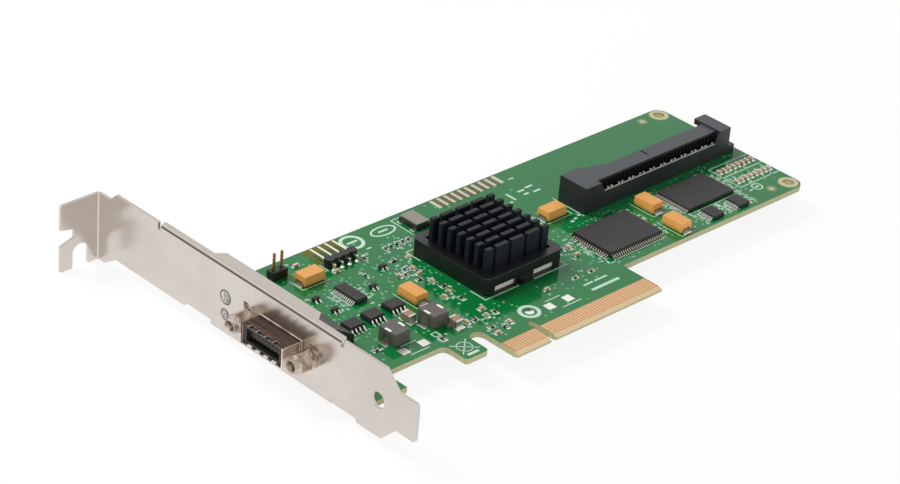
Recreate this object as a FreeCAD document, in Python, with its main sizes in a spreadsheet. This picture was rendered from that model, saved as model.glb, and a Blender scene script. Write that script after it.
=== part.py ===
import FreeCAD, Part
import math
import os
import Sketcher

# Host bus adapter card with its bracket, in millimetres.
# X runs along the card away from the bracket, Y from the card edge to the far edge, Z out of the parts side.
# The origin is on the middle of the key slot, at the foot of the card-edge tab, on the component face.

# Circuit board
key_to_edge = 54.65  # key slot middle to the board's bracket end
board_long = 167.65  # board length
board_top = 68.9  # tab foot to the far edge
board_low = 13.8  # tab foot to the near edge
board_thick = 1.57  # board thickness
board_round = 3.2  # outer corner radius of the board's free end
edge_round = 1.0  # radius of the board's other corners
foot_wide = 10.1  # width of the foot behind the bracket
foot_low = 5.8  # tab foot to the lower edge of the foot and the hook
hook_wide = 7.6  # width of the hook beside the tab
hook_gap = 4.4  # slot between hook and tab
slot_round = 2.0  # corner radius of that slot
tab_left = 12.6  # key slot middle to the tab's bracket side
tab_wide = 52.2  # tab width
bevel_long = 1.3  # lead-in bevel along the tab
bevel_deep = 0.45  # lead-in bevel into each face
key_wide = 1.9  # key slot width
key_deep = 8.9  # key slot depth
hole_radius = 1.6  # corner hole radius
hole_in_x = 3.2  # corner hole to the free end
hole_shift = 0.4  # extra distance of the near corner hole
hole_in_y = 3.1  # corner hole to the far or near edge
plate_thick = 0.05  # thickness of lands and edge contacts

# Headers
pin_pitch = 2.54  # header pin pitch
pin_thick = 0.64  # header pin width
pin_hole = 0.9  # header pin hole width
pin_tail = 1.2  # header pin tail below the board
header_high = 2.5  # header body height
post_high = 7.5  # upright header pin top
post_from_end = 18.45  # upright header to the board's bracket end
post_in = 5.8  # upright header to the far edge
angle_from_end = 36.45  # right-angle header to the board's bracket end
angle_in = 9.7  # right-angle header to the far edge
angle_reach = 7.5  # right-angle pin reach from the body's middle
angle_tail = 2.0  # right-angle tail row from the body's middle
angle_pin_z = 1.25  # right-angle pin height

# Gold edge contacts
contact_pitch = 1.0  # edge contact pitch
contact_wide = 0.7  # edge contact width
contact_high = 5.95  # tab foot to the contact tops
contact_in = 0.1  # contact ends above the bevel
contact_key = 1.5  # key middle to the nearest contact
short_row = 11  # contacts before the key
long_row = 38  # contacts after the key

# Bare lands
land_count = 10  # lands in the far row
land_from = 22.4  # first far land from the key slot middle
land_wide = 1.4  # far row land width
land_long = 4.4  # far row land length
land_in = 0.5  # far row to the far edge
pair_gap = 6.6  # middle distance of a land pair
pair_long = 2.6  # side of a large land

# Bracket
sheet_thick = 0.86  # bracket sheet thickness
bracket_gap = 3.55  # bracket's inner face to the board end
bend_in = 0.5  # inner bend radius
panel_up = 14.7  # panel's upper edge above the component face
panel_down = 4.2  # panel's lower edge below the component face
panel_wide_down = 5.2  # lower flange's outer face below the component face
panel_high = 107.66  # tab foot level to the top of the bent tab
tongue_tip = 12.4  # tongue tip below the tab foot level
tongue_long = 6.7  # tongue length
tongue_wide = 10.7  # tongue width
tongue_up = 10.2  # tongue's upper edge above the component face
neck_up = 12.3  # bent tab's upper edge above the component face
neck_down = 7.2  # bent tab's lower edge below the component face
neck_long = 5.4  # narrow neck below the bent tab
shoulder = 2.9  # slope from neck to panel
upper_from = 14.5  # upper flange's near end
upper_to = 81.9  # upper flange's far end
upper_wide = 4.1  # upper flange width over the card
upper_slim = 1.7  # upper flange width at its ends
upper_step_near = 25.3  # where the upper flange widens, near end
upper_step_far = 62.0  # where the upper flange widens, far end
upper_slope = 1.9  # length of the slopes where it widens
lower_from = 17.2  # lower flange's near end
lower_to = 61.6  # lower flange's far end
step_long = 8.6  # plain edge beside the lower flange
step_slope = 0.6  # slope at the ends of that edge
lower_wide = 2.6  # lower flange width
bend_zone = 2.0  # strip of each fold, measured from the outer face
relief = 1.1  # width of the relief notches beside the flanges
tab_deep = 12.0  # bent tab depth from the panel's outer face
screw_wide = 5.0  # screw slot width
screw_in = 3.2  # panel's outer face to the screw slot
screw_top = 0.7  # screw slot's end below the component face
spur_gap = 4.9  # notch beside the spur along the tab's outer edge
spur_slope = 0.8  # slope of that notch's upper side
spur_lead = 1.4  # slope of the spur's upper end
spur_past = 0.4  # notch reach past the screw slot's outer side
spur_up = 0.2  # spur's upper end above the component face
peep_radius = 2.2  # radius of the round hole near the tongue
peep_y = 0.8  # round hole above the tab foot level
peep_z = 4.7  # round hole above the component face

# External port
port_y = 35.9  # port middle above the tab foot level
port_z = 4.3  # port middle above the component face
port_wide = 15.2  # shell width
port_high = 5.6  # shell height
port_reach = 5.8  # shell's reach beyond the bracket
shell_wall = 0.4  # shell wall
shell_fit = 0.05  # insulator's clearance in the shell
flange_wide = 28.6  # shell flange width
flange_high = 8.3  # shell flange height
flange_lift = 0.1  # shell flange above the component face
flange_thick = 1.0  # shell flange thickness
cover_long = 8.0  # shell cover behind the flange
port_rear = 16.8  # insulator's length behind the bracket
port_step = 2.4  # height of the insulator's sloped rear at its end
mouth_wide = 12.0  # mouth width in the insulator
mouth_high = 3.4  # mouth height in the insulator
mouth_deep = 5.0  # mouth depth
card_thick = 1.0  # thickness of the contact card in the mouth
card_in = 1.0  # contact card's front edge behind the insulator's face
port_lanes = 8  # contacts on each face of the contact card
lane_pitch = 1.27  # their pitch
lane_wide = 0.6  # their width
lane_in = 0.3  # their ends behind the contact card's front edge
lane_tail = 1.3  # their tails on the board behind the insulator
lane_thick = 0.12  # their thickness
notch_pitch = 3.0  # pitch of the notches in the shell's rim
notch_wide = 1.5  # notch width
notch_deep = 1.1  # notch depth
jack_pitch = 22.7  # jack socket distance
jack_flats = 4.75  # jack socket across flats
jack_long = 6.4  # jack socket length outside the bracket
jack_bore = 1.25  # jack socket thread radius
jack_deep = 5.0  # jack socket thread depth
window_fit = 0.35  # bracket opening's clearance over and under the shell
window_side = 0.9  # bracket opening's clearance beside the shell
ear_wide = 27.2  # width over the two openings behind the jack sockets
ear_long = 2.9  # their length
ear_low = 1.9  # their lower edge above the port's middle
ear_high = 2.0  # their height

# Indicator
light_y = 56.3  # lights above the tab foot level
light_up = 5.8  # upper light above the component face
light_down = 0.9  # lower light above the component face
light_big = 1.95  # upper lens radius
light_small = 1.5  # lower lens radius
light_fit = 0.12  # lens clearance in the bracket
light_proud = 0.25  # lens height over the bracket
light_gap = 1.7  # housing to the bracket
light_wide = 5.2  # housing width
light_high = 8.3  # housing height
light_sill = 0.5  # housing below the lower lens
light_long = 5.0  # housing length on the board

# Placement and leaded packages
grid = 1.0  # placement step of the parts on the board
stand_off = 0.12  # gap under leaded cases

# Buffer chip
buffer_long = 8.65  # buffer case length
buffer_wide = 3.9  # buffer case width
buffer_high = 1.4  # buffer case top
buffer_pins = 12  # buffer leads on each side
fine_pitch = 0.65  # lead pitch of the buffer and logic cases
fine_wide = 0.28  # lead width of the buffer, logic and processor cases
fine_thick = 0.16  # their lead thickness
fine_reach = 1.05  # their lead reach
fine_foot = 0.5  # their lead foot
fine_exit = 0.6  # height of their leads at the case

# Power switches
power_long = 4.9  # power switch case length
power_wide = 3.9  # power switch case width
power_high = 1.6  # power switch case top
power_pitch = 1.27  # power switch lead pitch
power_lead = 0.42  # power switch lead width
power_thick = 0.22  # power switch lead thickness
power_reach = 1.1  # power switch lead reach
power_foot = 0.6  # power switch lead foot
power_exit = 0.7  # height of the power switch leads at the case

# Small transistors
tiny_long = 2.2  # small transistor case length
tiny_wide = 1.35  # small transistor case width
tiny_high = 1.05  # small transistor case top
tiny_pitch = 1.3  # small transistor lead pitch
tiny_lead = 0.42  # small transistor lead width
tiny_reach = 0.6  # small transistor lead reach
tiny_exit = 0.4  # height of the small transistor leads at the case

# Support processor
proc_long = 20.0  # support processor case length
proc_wide = 14.0  # support processor case width
proc_pitch = 0.8  # support processor lead pitch
proc_high = 1.7  # support processor case top
proc_long_pins = 24  # leads on its long sides
proc_wide_pins = 16  # leads on its short sides

# Memory chip
mem_long = 18.4  # memory case length
mem_wide = 12.0  # memory case width
mem_high = 1.1  # memory case top
mem_pins = 24  # memory leads on each end
mem_pitch = 0.48  # memory lead pitch
mem_lead = 0.22  # memory lead width
mem_reach = 0.8  # memory lead reach
mem_exit = 0.45  # height of the memory leads at the case

# Logic chips
logic_long = 5.0  # logic case length
logic_wide = 4.4  # logic case width
logic_high = 1.1  # logic case top
logic_pins = 7  # logic leads on each side
logic_exit = 0.45  # height of the logic leads at the case

# Tantalum capacitors
tant_long = 7.0  # tantalum case length
tant_wide = 4.3  # tantalum case width
tant_high = 2.8  # tantalum case top
term_wide = 2.4  # tantalum terminal width
term_thick = 0.15  # tantalum terminal thickness
term_high = 1.3  # tantalum terminal height up the end
term_under = 1.3  # tantalum terminal length under the case

# Power inductors with clip terminals on their ends
coil_long = 5.2  # inductor case along X
coil_wide = 6.0  # inductor case along Y
coil_high = 3.6  # inductor case top
clip_wide = 2.4  # inductor terminal width
clip_long = 0.9  # inductor terminal length along the board
clip_thick = 0.2  # inductor terminal thickness
clip_high = 2.6  # inductor terminal height

# Chip parts
bulk_long = 3.2  # large ceramic capacitor length
bulk_wide = 2.5  # large ceramic capacitor width
bulk_high = 2.2  # large ceramic capacitor height
bulk_cap = 0.6  # large ceramic capacitor end cap
chip_long = 1.6  # small chip part length
chip_wide = 0.8  # small chip part width
cap_high = 0.75  # small chip capacitor height
resistor_high = 0.45  # small chip resistor height

# Clock oscillator
clock_wide = 5.0  # oscillator width
clock_long = 7.0  # oscillator length
clock_base = 1.0  # oscillator base height
clock_lid = 0.8  # oscillator lid height over the base
clock_rim = 0.25  # base rim round the lid
clock_in = 6.5  # oscillator middle to the far edge

# Controller under its heatsink
hub_x = 13.4  # controller middle from the key slot
hub_y = 37.85  # controller middle above the tab foot level
hub_wide = 26.0  # controller substrate side
hub_base = 1.85  # controller substrate thickness
hub_cap = 23.0  # controller case side
hub_high = 0.55  # controller case height over the substrate
wax_thick = 0.3  # thermal pad thickness
sink_wide = 24.6  # heatsink base side
sink_base = 1.7  # heatsink base thickness
fin_top = 11.1  # heatsink fin tops above the board
fin_pitch = 3.3  # fin row pitch
fin_thick = 1.3  # fin thickness
fin_long = 4.5  # length of the three middle fins of a row
fin_clear = 0.3  # end fins to the frame lip
fin_gap = 1.05  # gap between the fins of a row
frame_fit = 0.1  # frame clearance round the substrate and the heatsink base
frame_wall = 0.95  # frame wall
frame_lip = 0.55  # frame lip thickness over the heatsink base
lip_over = 0.85  # frame lip's overlap on the heatsink base
frame_bevel = 1.4  # frame corner bevel
latch_wide = 3.8  # frame latch width
latch_out = 1.1  # frame latch reach beyond the frame
latch_high = 1.9  # frame latch height
port_gap = 1.2  # frame windows to the latch
sight_wide = 7.7  # frame window width
sight_low = 0.15  # frame windows above the board
sight_high = 2.1  # frame window height

# Internal connector
conn_long = 58.0  # connector length between its end faces
conn_in = 4.4  # connector to the board's free end
conn_clear = 3.8  # connector to the capacitor beside it
conn_y = 38.5  # connector front above the tab foot level
conn_high = 7.8  # connector height
conn_end = 5.9  # left end block length
conn_deep = 9.8  # end block depth
conn_back = 6.8  # front face to the rear wall's back
wedge_long = 9.5  # slope behind the left end block
conn_slot = 1.1  # slot width
conn_front = 0.65  # front wall thickness
conn_lip = 4.9  # front wall height
conn_floor = 1.6  # slot floor height
tower_long = 4.5  # latch tower length
tower_high = 8.3  # latch tower height
tower_bar = 1.7  # latch bar thickness
tower_gap = 3.6  # free length under the latch bar
peg_long = 2.4  # low end block length
peg_deep = 2.8  # low end block depth
peg_high = 2.4  # low end block height
pole_in = 1.5  # bay ends to the outer connector contacts
pole_pitch = 1.4  # connector contact pitch
pole_wide = 0.7  # connector contact width
pole_thick = 0.25  # connector contact thickness
pole_high = 5.3  # connector contact tops
slit_wide = 0.5  # slit in the rear wall
slit_long = 3.0  # slit length into the wall
slit_deep = 1.2  # slit depth
doc = FreeCAD.newDocument("host_bus_adapter")
sheet = doc.addObject("Spreadsheet::Sheet", "dims")
nodes = []


class Size:
    """A length that carries its number and the sheet formula it comes from."""

    def __init__(self, value, text):
        self.value = value
        self.text = text

    def __add__(self, other):
        other = size(other)
        return Size(self.value + other.value, f"({self.text} + {other.text})")

    def __sub__(self, other):
        other = size(other)
        return Size(self.value - other.value, f"({self.text} - {other.text})")

    def __mul__(self, other):
        other = size(other)
        return Size(self.value * other.value, f"({self.text} * {other.text})")

    def __truediv__(self, other):
        other = size(other)
        return Size(self.value / other.value, f"({self.text} / {other.text})")

    def __neg__(self):
        return Size(-self.value, f"(-1 * {self.text})")

    def __radd__(self, other):
        return size(other) + self

    def __rsub__(self, other):
        return size(other) - self

    __rmul__ = __mul__


def size(value):
    return value if isinstance(value, Size) else Size(float(value), f"({value})")


def larger(one, other):
    return Size(max(one.value, other.value), f"max({one.text}; {other.text})")


def whole(value):
    """The whole number of steps in a ratio of lengths."""
    return Size(math.floor(value.value), f"floor({value.text})")


# Each value above becomes a cell of the sheet, and each name from here on carries its cell
named = [pair for pair in globals().items() if isinstance(pair[1], (int, float))]
for row, (alias, value) in enumerate(named, 1):
    sheet.set(f"A{row}", alias.replace("_", " "))
    sheet.set(f"B{row}", str(value))
    sheet.setAlias(f"B{row}", alias)
    globals()[alias] = Size(value, f"dims.{alias}")


def bind(thing, prop, value):
    thing.setExpression(prop, size(value).text)


def keep(thing, label):
    """Name a finished piece; its label is its file name."""
    thing.Label = label
    nodes.append(thing)
    return thing


def block(x, y, z, label="block"):
    """A box between three pairs of planes."""
    item = doc.addObject("Part::Box", label)
    for prop, axis, (low, high) in (("Length", "x", x), ("Width", "y", y), ("Height", "z", z)):
        bind(item, prop, size(high) - low)
        bind(item, f"Placement.Base.{axis}", low)
    return item


TURN = {
    "x": FreeCAD.Rotation(FreeCAD.Vector(0, 1, 0), 90),
    "y": FreeCAD.Rotation(FreeCAD.Vector(1, 0, 0), -90),
    "z": FreeCAD.Rotation(),
}


def along(item, axis, spot):
    """Stand an item on a spot with its own Z along the axis."""
    item.Placement = FreeCAD.Placement(FreeCAD.Vector(), TURN[axis])
    for name, value in zip("xyz", spot):
        bind(item, f"Placement.Base.{name}", value)
    return item


def rod(axis, spot, radius, length, label="rod"):
    item = doc.addObject("Part::Cylinder", label)
    bind(item, "Radius", radius)
    bind(item, "Height", length)
    return along(item, axis, spot)


def hexagon(axis, spot, across_flats, length, label="hexagon"):
    item = doc.addObject("Part::Prism", label)
    item.Polygon = 6
    bind(item, "Circumradius", across_flats / math.sqrt(3))
    bind(item, "Height", length)
    return along(item, axis, spot)


def fuse(items, label="fuse"):
    item = doc.addObject("Part::MultiFuse", label)
    item.Shapes = items
    item.Refine = True
    return item


def cut(base, tools, label="cut"):
    item = doc.addObject("Part::Cut", label)
    item.Base = base
    item.Tool = tools[0] if len(tools) == 1 else fuse(tools)
    item.Refine = True
    return item


def group(items, label):
    item = doc.addObject("Part::Compound", label)
    item.Links = items
    return item


def new_body(label):
    return doc.addObject("PartDesign::Body", label)


def origin_part(body, role):
    return [item for item in body.Origin.OriginFeatures if item.Role == role][0]


def new_sketch(body, plane, depth):
    """An empty sketch on one of the body's planes, moved along the plane's normal."""
    sketch = body.newObject("Sketcher::SketchObject", "sketch")
    sketch.AttachmentSupport = (origin_part(body, plane), [""])
    sketch.MapMode = "FlatFace"
    bind(sketch, "AttachmentOffset.Base.z", depth)
    return sketch


def fix(sketch, kind, where, value):
    index = sketch.addConstraint(Sketcher.Constraint(kind, *where, value.value))
    sketch.setExpression(f"Constraints[{index}]", value.text)


def pin_point(sketch, line, end, point):
    fix(sketch, "DistanceX", (-1, 1, line, end), point[0])
    fix(sketch, "DistanceY", (-1, 1, line, end), point[1])


def step(here, there):
    """The unit step from one corner toward another, along one of the two directions."""
    du = there[0].value - here[0].value
    dv = there[1].value - here[1].value
    if abs(du) > abs(dv):
        return int(math.copysign(1, du)), 0
    return 0, int(math.copysign(1, dv))


def vector(point):
    return FreeCAD.Vector(point[0].value, point[1].value, 0)


def draw(sketch, corners):
    """Draw a closed outline; a third value on a corner rounds it where two square edges meet."""
    corners = [(size(c[0]), size(c[1]), size(c[2]) if len(c) > 2 else None) for c in corners]
    count = len(corners)
    entry, leave = [], []
    for i, (u, v, r) in enumerate(corners):
        if r is None:
            entry.append((u, v))
            leave.append((u, v))
            continue
        back = step(corners[i], corners[i - 1])
        ahead = step(corners[i], corners[(i + 1) % count])
        entry.append((u + r * back[0], v + r * back[1]))
        leave.append((u + r * ahead[0], v + r * ahead[1]))
    lines = []
    for i in range(count):
        segment = Part.LineSegment(vector(leave[i]), vector(entry[(i + 1) % count]))
        lines.append(sketch.addGeometry(segment))
    for i, (u, v, r) in enumerate(corners):
        pin_point(sketch, lines[i], 1, leave[i])
        if r is None:
            sketch.addConstraint(Sketcher.Constraint("Coincident", lines[i - 1], 2, lines[i], 1))
            continue
        pin_point(sketch, lines[i - 1], 2, entry[i])
        centre = (entry[i][0] + leave[i][0] - u, entry[i][1] + leave[i][1] - v)
        first = vector(entry[i]) - vector(centre)
        last = vector(leave[i]) - vector(centre)
        ends = [(math.atan2(first.y, first.x), lines[i - 1], 2), (math.atan2(last.y, last.x), lines[i], 1)]
        if first.cross(last).z < 0:
            ends.reverse()
        circle = Part.Circle(vector(centre), FreeCAD.Vector(0, 0, 1), r.value)
        arc = sketch.addGeometry(Part.ArcOfCircle(circle, ends[0][0], ends[1][0]))
        for end in (0, 1):
            sketch.addConstraint(Sketcher.Constraint("Coincident", arc, end + 1, ends[end][1], ends[end][2]))
        fix(sketch, "Radius", (arc,), r)


def draw_circle(sketch, u, v, radius):
    middle = FreeCAD.Vector(size(u).value, size(v).value, 0)
    ring = sketch.addGeometry(Part.Circle(middle, FreeCAD.Vector(0, 0, 1), size(radius).value))
    pin_point(sketch, ring, 3, (size(u), size(v)))
    fix(sketch, "Radius", (ring,), size(radius))


def pad(body, sketch, length):
    feature = body.newObject("PartDesign::Pad", "pad")
    feature.Profile = sketch
    bind(feature, "Length", length)
    return feature


def pocket(body, sketch, length):
    feature = body.newObject("PartDesign::Pocket", "pocket")
    feature.Profile = sketch
    bind(feature, "Length", length)
    return feature


def row_of(body, originals, axis, count, pitch):
    """Repeat features of a body at an even pitch along one of its axes."""
    feature = body.newObject("PartDesign::LinearPattern", "row")
    feature.Originals = originals
    feature.Direction = (origin_part(body, axis), [""])
    bind(feature, "Length", pitch * (count - 1))
    bind(feature, "Occurrences", count)
    body.Tip = feature
    return feature


def sheet_piece(label, plane, depth, corners, length):
    """One outline padded to a plate or bar."""
    body = new_body(label)
    sketch = new_sketch(body, plane, depth)
    draw(sketch, corners)
    pad(body, sketch, length)
    return body


def rectangle(u, v):
    return [(u[0], v[0]), (u[1], v[0]), (u[1], v[1]), (u[0], v[1])]


def about(middle, width):
    return middle - width / 2, middle + width / 2


def on_grid(x, y):
    """A place on the board, counted in placement steps from the key slot."""
    return grid * x, grid * y


# Circuit board
left = -key_to_edge
right = left + board_long
conn_right = right - conn_in
conn_left = conn_right - conn_long
tab_right = tab_wide - tab_left
hook_right = -tab_left - hook_gap
hook_left = hook_right - hook_wide
hole_x = right - hole_in_x
hole_far = board_top - hole_in_y
hole_near = board_low + hole_in_y + hole_shift
key_half = key_wide / 2

# Headers; their pins pass through the board
post_x = left + post_from_end
post_y = board_top - post_in
angle_x = left + angle_from_end
angle_y = board_top - angle_in
post_spots = [post_x - pin_pitch / 2, post_x + pin_pitch / 2]
angle_spots = [angle_x + pin_pitch * k for k in (-1.5, -0.5, 0.5, 1.5)]

body = new_body("circuit_board")
sketch = new_sketch(body, "XY_Plane", -board_thick)
draw(sketch, [
    (left, foot_low),
    (left + foot_wide, foot_low),
    (left + foot_wide, board_low),
    (hook_left, board_low, slot_round),
    (hook_left, foot_low, edge_round),
    (hook_right, foot_low, edge_round),
    (hook_right, board_low, slot_round),
    (-tab_left, board_low, slot_round),
    (-tab_left, 0),
    (-key_half, 0),
    (-key_half, key_deep, key_wide * 0.45),
    (key_half, key_deep, key_wide * 0.45),
    (key_half, 0),
    (tab_right, 0),
    (tab_right, board_low),
    (right, board_low, board_round),
    (right, board_top, board_round),
    (left, board_top),
])
pad(body, sketch, board_thick)
sketch = new_sketch(body, "XY_Plane", 0)
for y in (hole_near, hole_far):
    draw_circle(sketch, hole_x, y, hole_radius)
for x in post_spots:
    draw(sketch, rectangle(about(x, pin_hole), about(post_y, pin_hole)))
for x in angle_spots:
    draw(sketch, rectangle(about(x, pin_hole), about(angle_y - angle_tail, pin_hole)))
pocket(body, sketch, board_thick)
sketch = new_sketch(body, "YZ_Plane", tab_right)
draw(sketch, [(0, 0), (bevel_long, 0), (0, -bevel_deep)])
draw(sketch, [(0, -board_thick), (0, bevel_deep - board_thick), (bevel_long, -board_thick)])
pocket(body, sketch, tab_wide)
keep(body, "circuit_board")

# Gold edge contacts, eleven before the key and thirty-eight after it, on both faces
body = new_body("edge_contacts")
short_start = -contact_key - contact_pitch * (short_row - 1)
for start, count in ((short_start, short_row), (contact_key, long_row)):
    faces = []
    for depth in (size(0), -board_thick - plate_thick):
        sketch = new_sketch(body, "XY_Plane", depth)
        draw(sketch, rectangle(about(start, contact_wide), (bevel_long + contact_in, contact_high)))
        faces.append(pad(body, sketch, plate_thick))
    row_of(body, faces, "X_Axis", count, contact_pitch)
keep(body, "edge_contacts")

# Bare lands: a row along the far edge and two unused pairs
body = new_body("far_lands")
sketch = new_sketch(body, "XY_Plane", 0)
land_y = board_top - land_in
draw(sketch, rectangle(about(land_from, land_wide), (land_y - land_long, land_y)))
row_of(body, [pad(body, sketch, plate_thick)], "X_Axis", land_count, pin_pitch)
lands = [body]
for x, y in (on_grid(-31.0, 17.9), on_grid(13.0, 11.15)):
    for side in (-0.5, 0.5):
        middle = x + pair_gap * side
        lands.append(block(about(middle, pair_long), about(y, pair_long), (0, plate_thick)))
keep(group(lands, "bare_lands"), "bare_lands")

# Bracket: one folded sheet
inner = left - bracket_gap
outer = inner - sheet_thick
bend_out = bend_in + sheet_thick
tab_face = panel_high - sheet_thick
neck_low = panel_high - neck_long
fold_up = panel_up - bend_zone
fold_down = bend_zone - panel_wide_down
tongue_low = tongue_up - tongue_wide
chamfer_up = panel_up - tongue_up
chamfer_down = tongue_low + panel_wide_down

panel = sheet_piece("panel", "YZ_Plane", outer, [
    (neck_low + bend_zone, -neck_down),
    (neck_low + bend_zone, neck_up),
    (neck_low, neck_up),
    (neck_low - (panel_up - neck_up), panel_up),
    (upper_to + relief, panel_up),
    (upper_to + relief, fold_up),
    (upper_from - relief, fold_up),
    (upper_from - relief, panel_up),
    (chamfer_up - tongue_tip + tongue_long, panel_up),
    (-tongue_tip + tongue_long, tongue_up),
    (-tongue_tip, tongue_up, edge_round),
    (-tongue_tip, tongue_low, edge_round),
    (-tongue_tip + tongue_long, tongue_low),
    (chamfer_down - tongue_tip + tongue_long, -panel_wide_down),
    (lower_from - relief - step_long, -panel_wide_down),
    (lower_from - relief - step_long + step_slope, -panel_down),
    (lower_from - relief, -panel_down),
    (lower_from - relief, fold_down),
    (lower_to + relief, fold_down),
    (lower_to + relief + step_long, fold_down),
    (lower_to + relief + step_long + step_slope, -panel_down),
    (neck_low - shoulder, -panel_down),
], sheet_thick)

corner = sheet_piece("tab_bend", "XY_Plane", -neck_down, [
    (outer, neck_low + bend_zone),
    (inner, neck_low + bend_zone),
    (inner, panel_high, bend_out),
    (outer - bend_zone, panel_high),
    (outer - bend_zone, tab_face),
    (outer, tab_face, bend_in),
], neck_up + neck_down)

tab_end = outer - tab_deep
spur_in = tab_deep - screw_in - screw_wide
tab = sheet_piece("screw_tab", "XZ_Plane", -panel_high, [
    (outer - bend_zone, -neck_down),
    (outer - bend_zone, neck_up),
    (tab_end, neck_up, edge_round),
    (tab_end, spur_up + spur_gap),
    (tab_end + spur_in + spur_past, spur_up + spur_gap - spur_slope),
    (tab_end + spur_in + spur_past, spur_up + spur_lead),
    (tab_end, spur_up),
    (tab_end, -neck_down),
    (tab_end + spur_in, -neck_down),
    (tab_end + spur_in, -screw_top, screw_wide * 0.45),
    (outer - screw_in, -screw_top, screw_wide * 0.45),
    (outer - screw_in, -neck_down),
], sheet_thick)

upper_flange = sheet_piece("upper_flange", "XZ_Plane", -upper_to, [
    (outer, fold_up),
    (inner, fold_up),
    (inner, panel_up - sheet_thick, bend_in),
    (outer + upper_wide, panel_up - sheet_thick),
    (outer + upper_wide, panel_up),
    (outer, panel_up, bend_out),
], upper_to - upper_from)
slim = outer + upper_slim
wide = outer + upper_wide
half = upper_slope / 2
upper_flange = cut(upper_flange, [
    sheet_piece("far_step", "XY_Plane", panel_up - sheet_thick, [
        (slim, upper_step_far + half),
        (wide, upper_step_far - half),
        (wide, upper_to),
        (slim, upper_to),
    ], sheet_thick),
    sheet_piece("near_step", "XY_Plane", panel_up - sheet_thick, [
        (slim, upper_from),
        (wide, upper_from),
        (wide, upper_step_near + half),
        (slim, upper_step_near - half),
    ], sheet_thick),
])

lower_flange = sheet_piece("lower_flange", "XZ_Plane", -lower_to, [
    (inner, fold_down),
    (outer, fold_down),
    (outer, -panel_wide_down, bend_out),
    (outer + lower_wide, -panel_wide_down),
    (outer + lower_wide, sheet_thick - panel_wide_down),
    (inner, sheet_thick - panel_wide_down, bend_in),
], lower_to - lower_from)

# External port: shell, insulator and jack sockets, all set out from the port's middle
front = outer - port_reach
shell_y = about(port_y, port_wide)
shell_z = about(port_z, port_high)
flange_back = inner + flange_thick
cover_back = flange_back + cover_long
flange_z = (flange_lift, flange_high + flange_lift)
jack_ys = about(port_y, jack_pitch)
wall2 = shell_wall * 2
cover_y = about(port_y, port_wide + wall2)
cover_top = port_z + port_high / 2 + shell_wall
insul_y = about(port_y, port_wide - wall2 - shell_fit * 2)
insul_z = about(port_z, port_high - wall2 - shell_fit * 2)
rear_y = about(port_y, port_wide - shell_fit * 2)

sheet_x = (outer, inner)
opening_z = (shell_z[0] - window_fit, shell_z[1] + window_fit)
bracket_cuts = [block(sheet_x, about(port_y, port_wide + window_side * 2), opening_z)]
ear_low_y, ear_high_y = about(port_y, ear_wide)
for ear_y in ((ear_low_y, ear_low_y + ear_long), (ear_high_y - ear_long, ear_high_y)):
    bracket_cuts.append(block(sheet_x, ear_y, (port_z + ear_low, port_z + ear_low + ear_high)))
bracket_cuts.append(rod("x", (outer, peep_y, peep_z), peep_radius, sheet_thick))

# Indicator: a two-high housing over the board end, lenses flush in the bracket
lights = ((light_up, light_big), (light_down, light_small))
for z, radius in lights:
    bracket_cuts.append(rod("x", (outer, light_y, z), radius + light_fit, sheet_thick))
keep(cut(fuse([panel, corner, tab, upper_flange, lower_flange]), bracket_cuts), "bracket")

light_face = inner + light_gap
light_step = left - light_fit
low_end = light_down - light_small - light_sill
keep(fuse([
    block((light_face, light_step), about(light_y, light_wide), (low_end, light_high)),
    block((light_step, left + light_long), about(light_y, light_wide), (0, light_high)),
]), "indicator_housing")

lenses = []
for z, radius in lights:
    lens = new_body("lens")
    sketch = new_sketch(lens, "XY_Plane", 0)
    tip = outer - light_proud
    draw(sketch, [(tip, 0), (light_face, 0), (light_face, radius), (tip, radius)])
    turn = lens.newObject("PartDesign::Revolution", "turn")
    turn.Profile = sketch
    turn.ReferenceAxis = (sketch, ["H_Axis"])
    turn.Angle = 360
    bind(lens, "Placement.Base.y", light_y)
    bind(lens, "Placement.Base.z", z)
    lenses.append(lens)
keep(group(lenses, "indicator_lenses"), "indicator_lenses")

# Shell: collar through the bracket, flange behind it, cover over the insulator
solid = fuse([
    block((front, flange_back), shell_y, shell_z),
    block((inner, flange_back), about(port_y, flange_wide), flange_z),
    block((flange_back, cover_back), cover_y, (0, cover_top)),
])
hollow = [
    block((front, flange_back), about(port_y, port_wide - wall2), about(port_z, port_high - wall2)),
    block((flange_back, cover_back), shell_y, (0, cover_top - shell_wall)),
]
for place in (-1.5, -0.5, 0.5, 1.5):
    middle = port_y + notch_pitch * place
    hollow.append(block((front, front + notch_deep), about(middle, notch_wide), shell_z))
keep(cut(solid, hollow), "external_port_shell")

# Insulator with a contact card standing in its mouth
mouth_front = front + shell_wall
mouth_back = mouth_front + mouth_deep
rear_top = cover_top - shell_wall - shell_fit
insulator = fuse([
    block((mouth_front, flange_back), insul_y, insul_z),
    block((flange_back, cover_back), rear_y, (0, rear_top)),
    sheet_piece("rear_slope", "XZ_Plane", -rear_y[1], [
        (cover_back, 0),
        (inner + port_rear, 0),
        (inner + port_rear, port_step),
        (cover_back, rear_top),
    ], rear_y[1] - rear_y[0]),
])
mouth_y = about(port_y, mouth_wide)
gap_high = (mouth_high - card_thick) / 2
gaps = [
    block((mouth_front, mouth_back), mouth_y, (port_z + card_thick / 2, port_z + card_thick / 2 + gap_high)),
    block((mouth_front, mouth_back), mouth_y, (port_z - card_thick / 2 - gap_high, port_z - card_thick / 2)),
    block((mouth_front, mouth_front + card_in), mouth_y, about(port_z, mouth_high)),
]
keep(cut(insulator, gaps), "external_port_housing")

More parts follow.
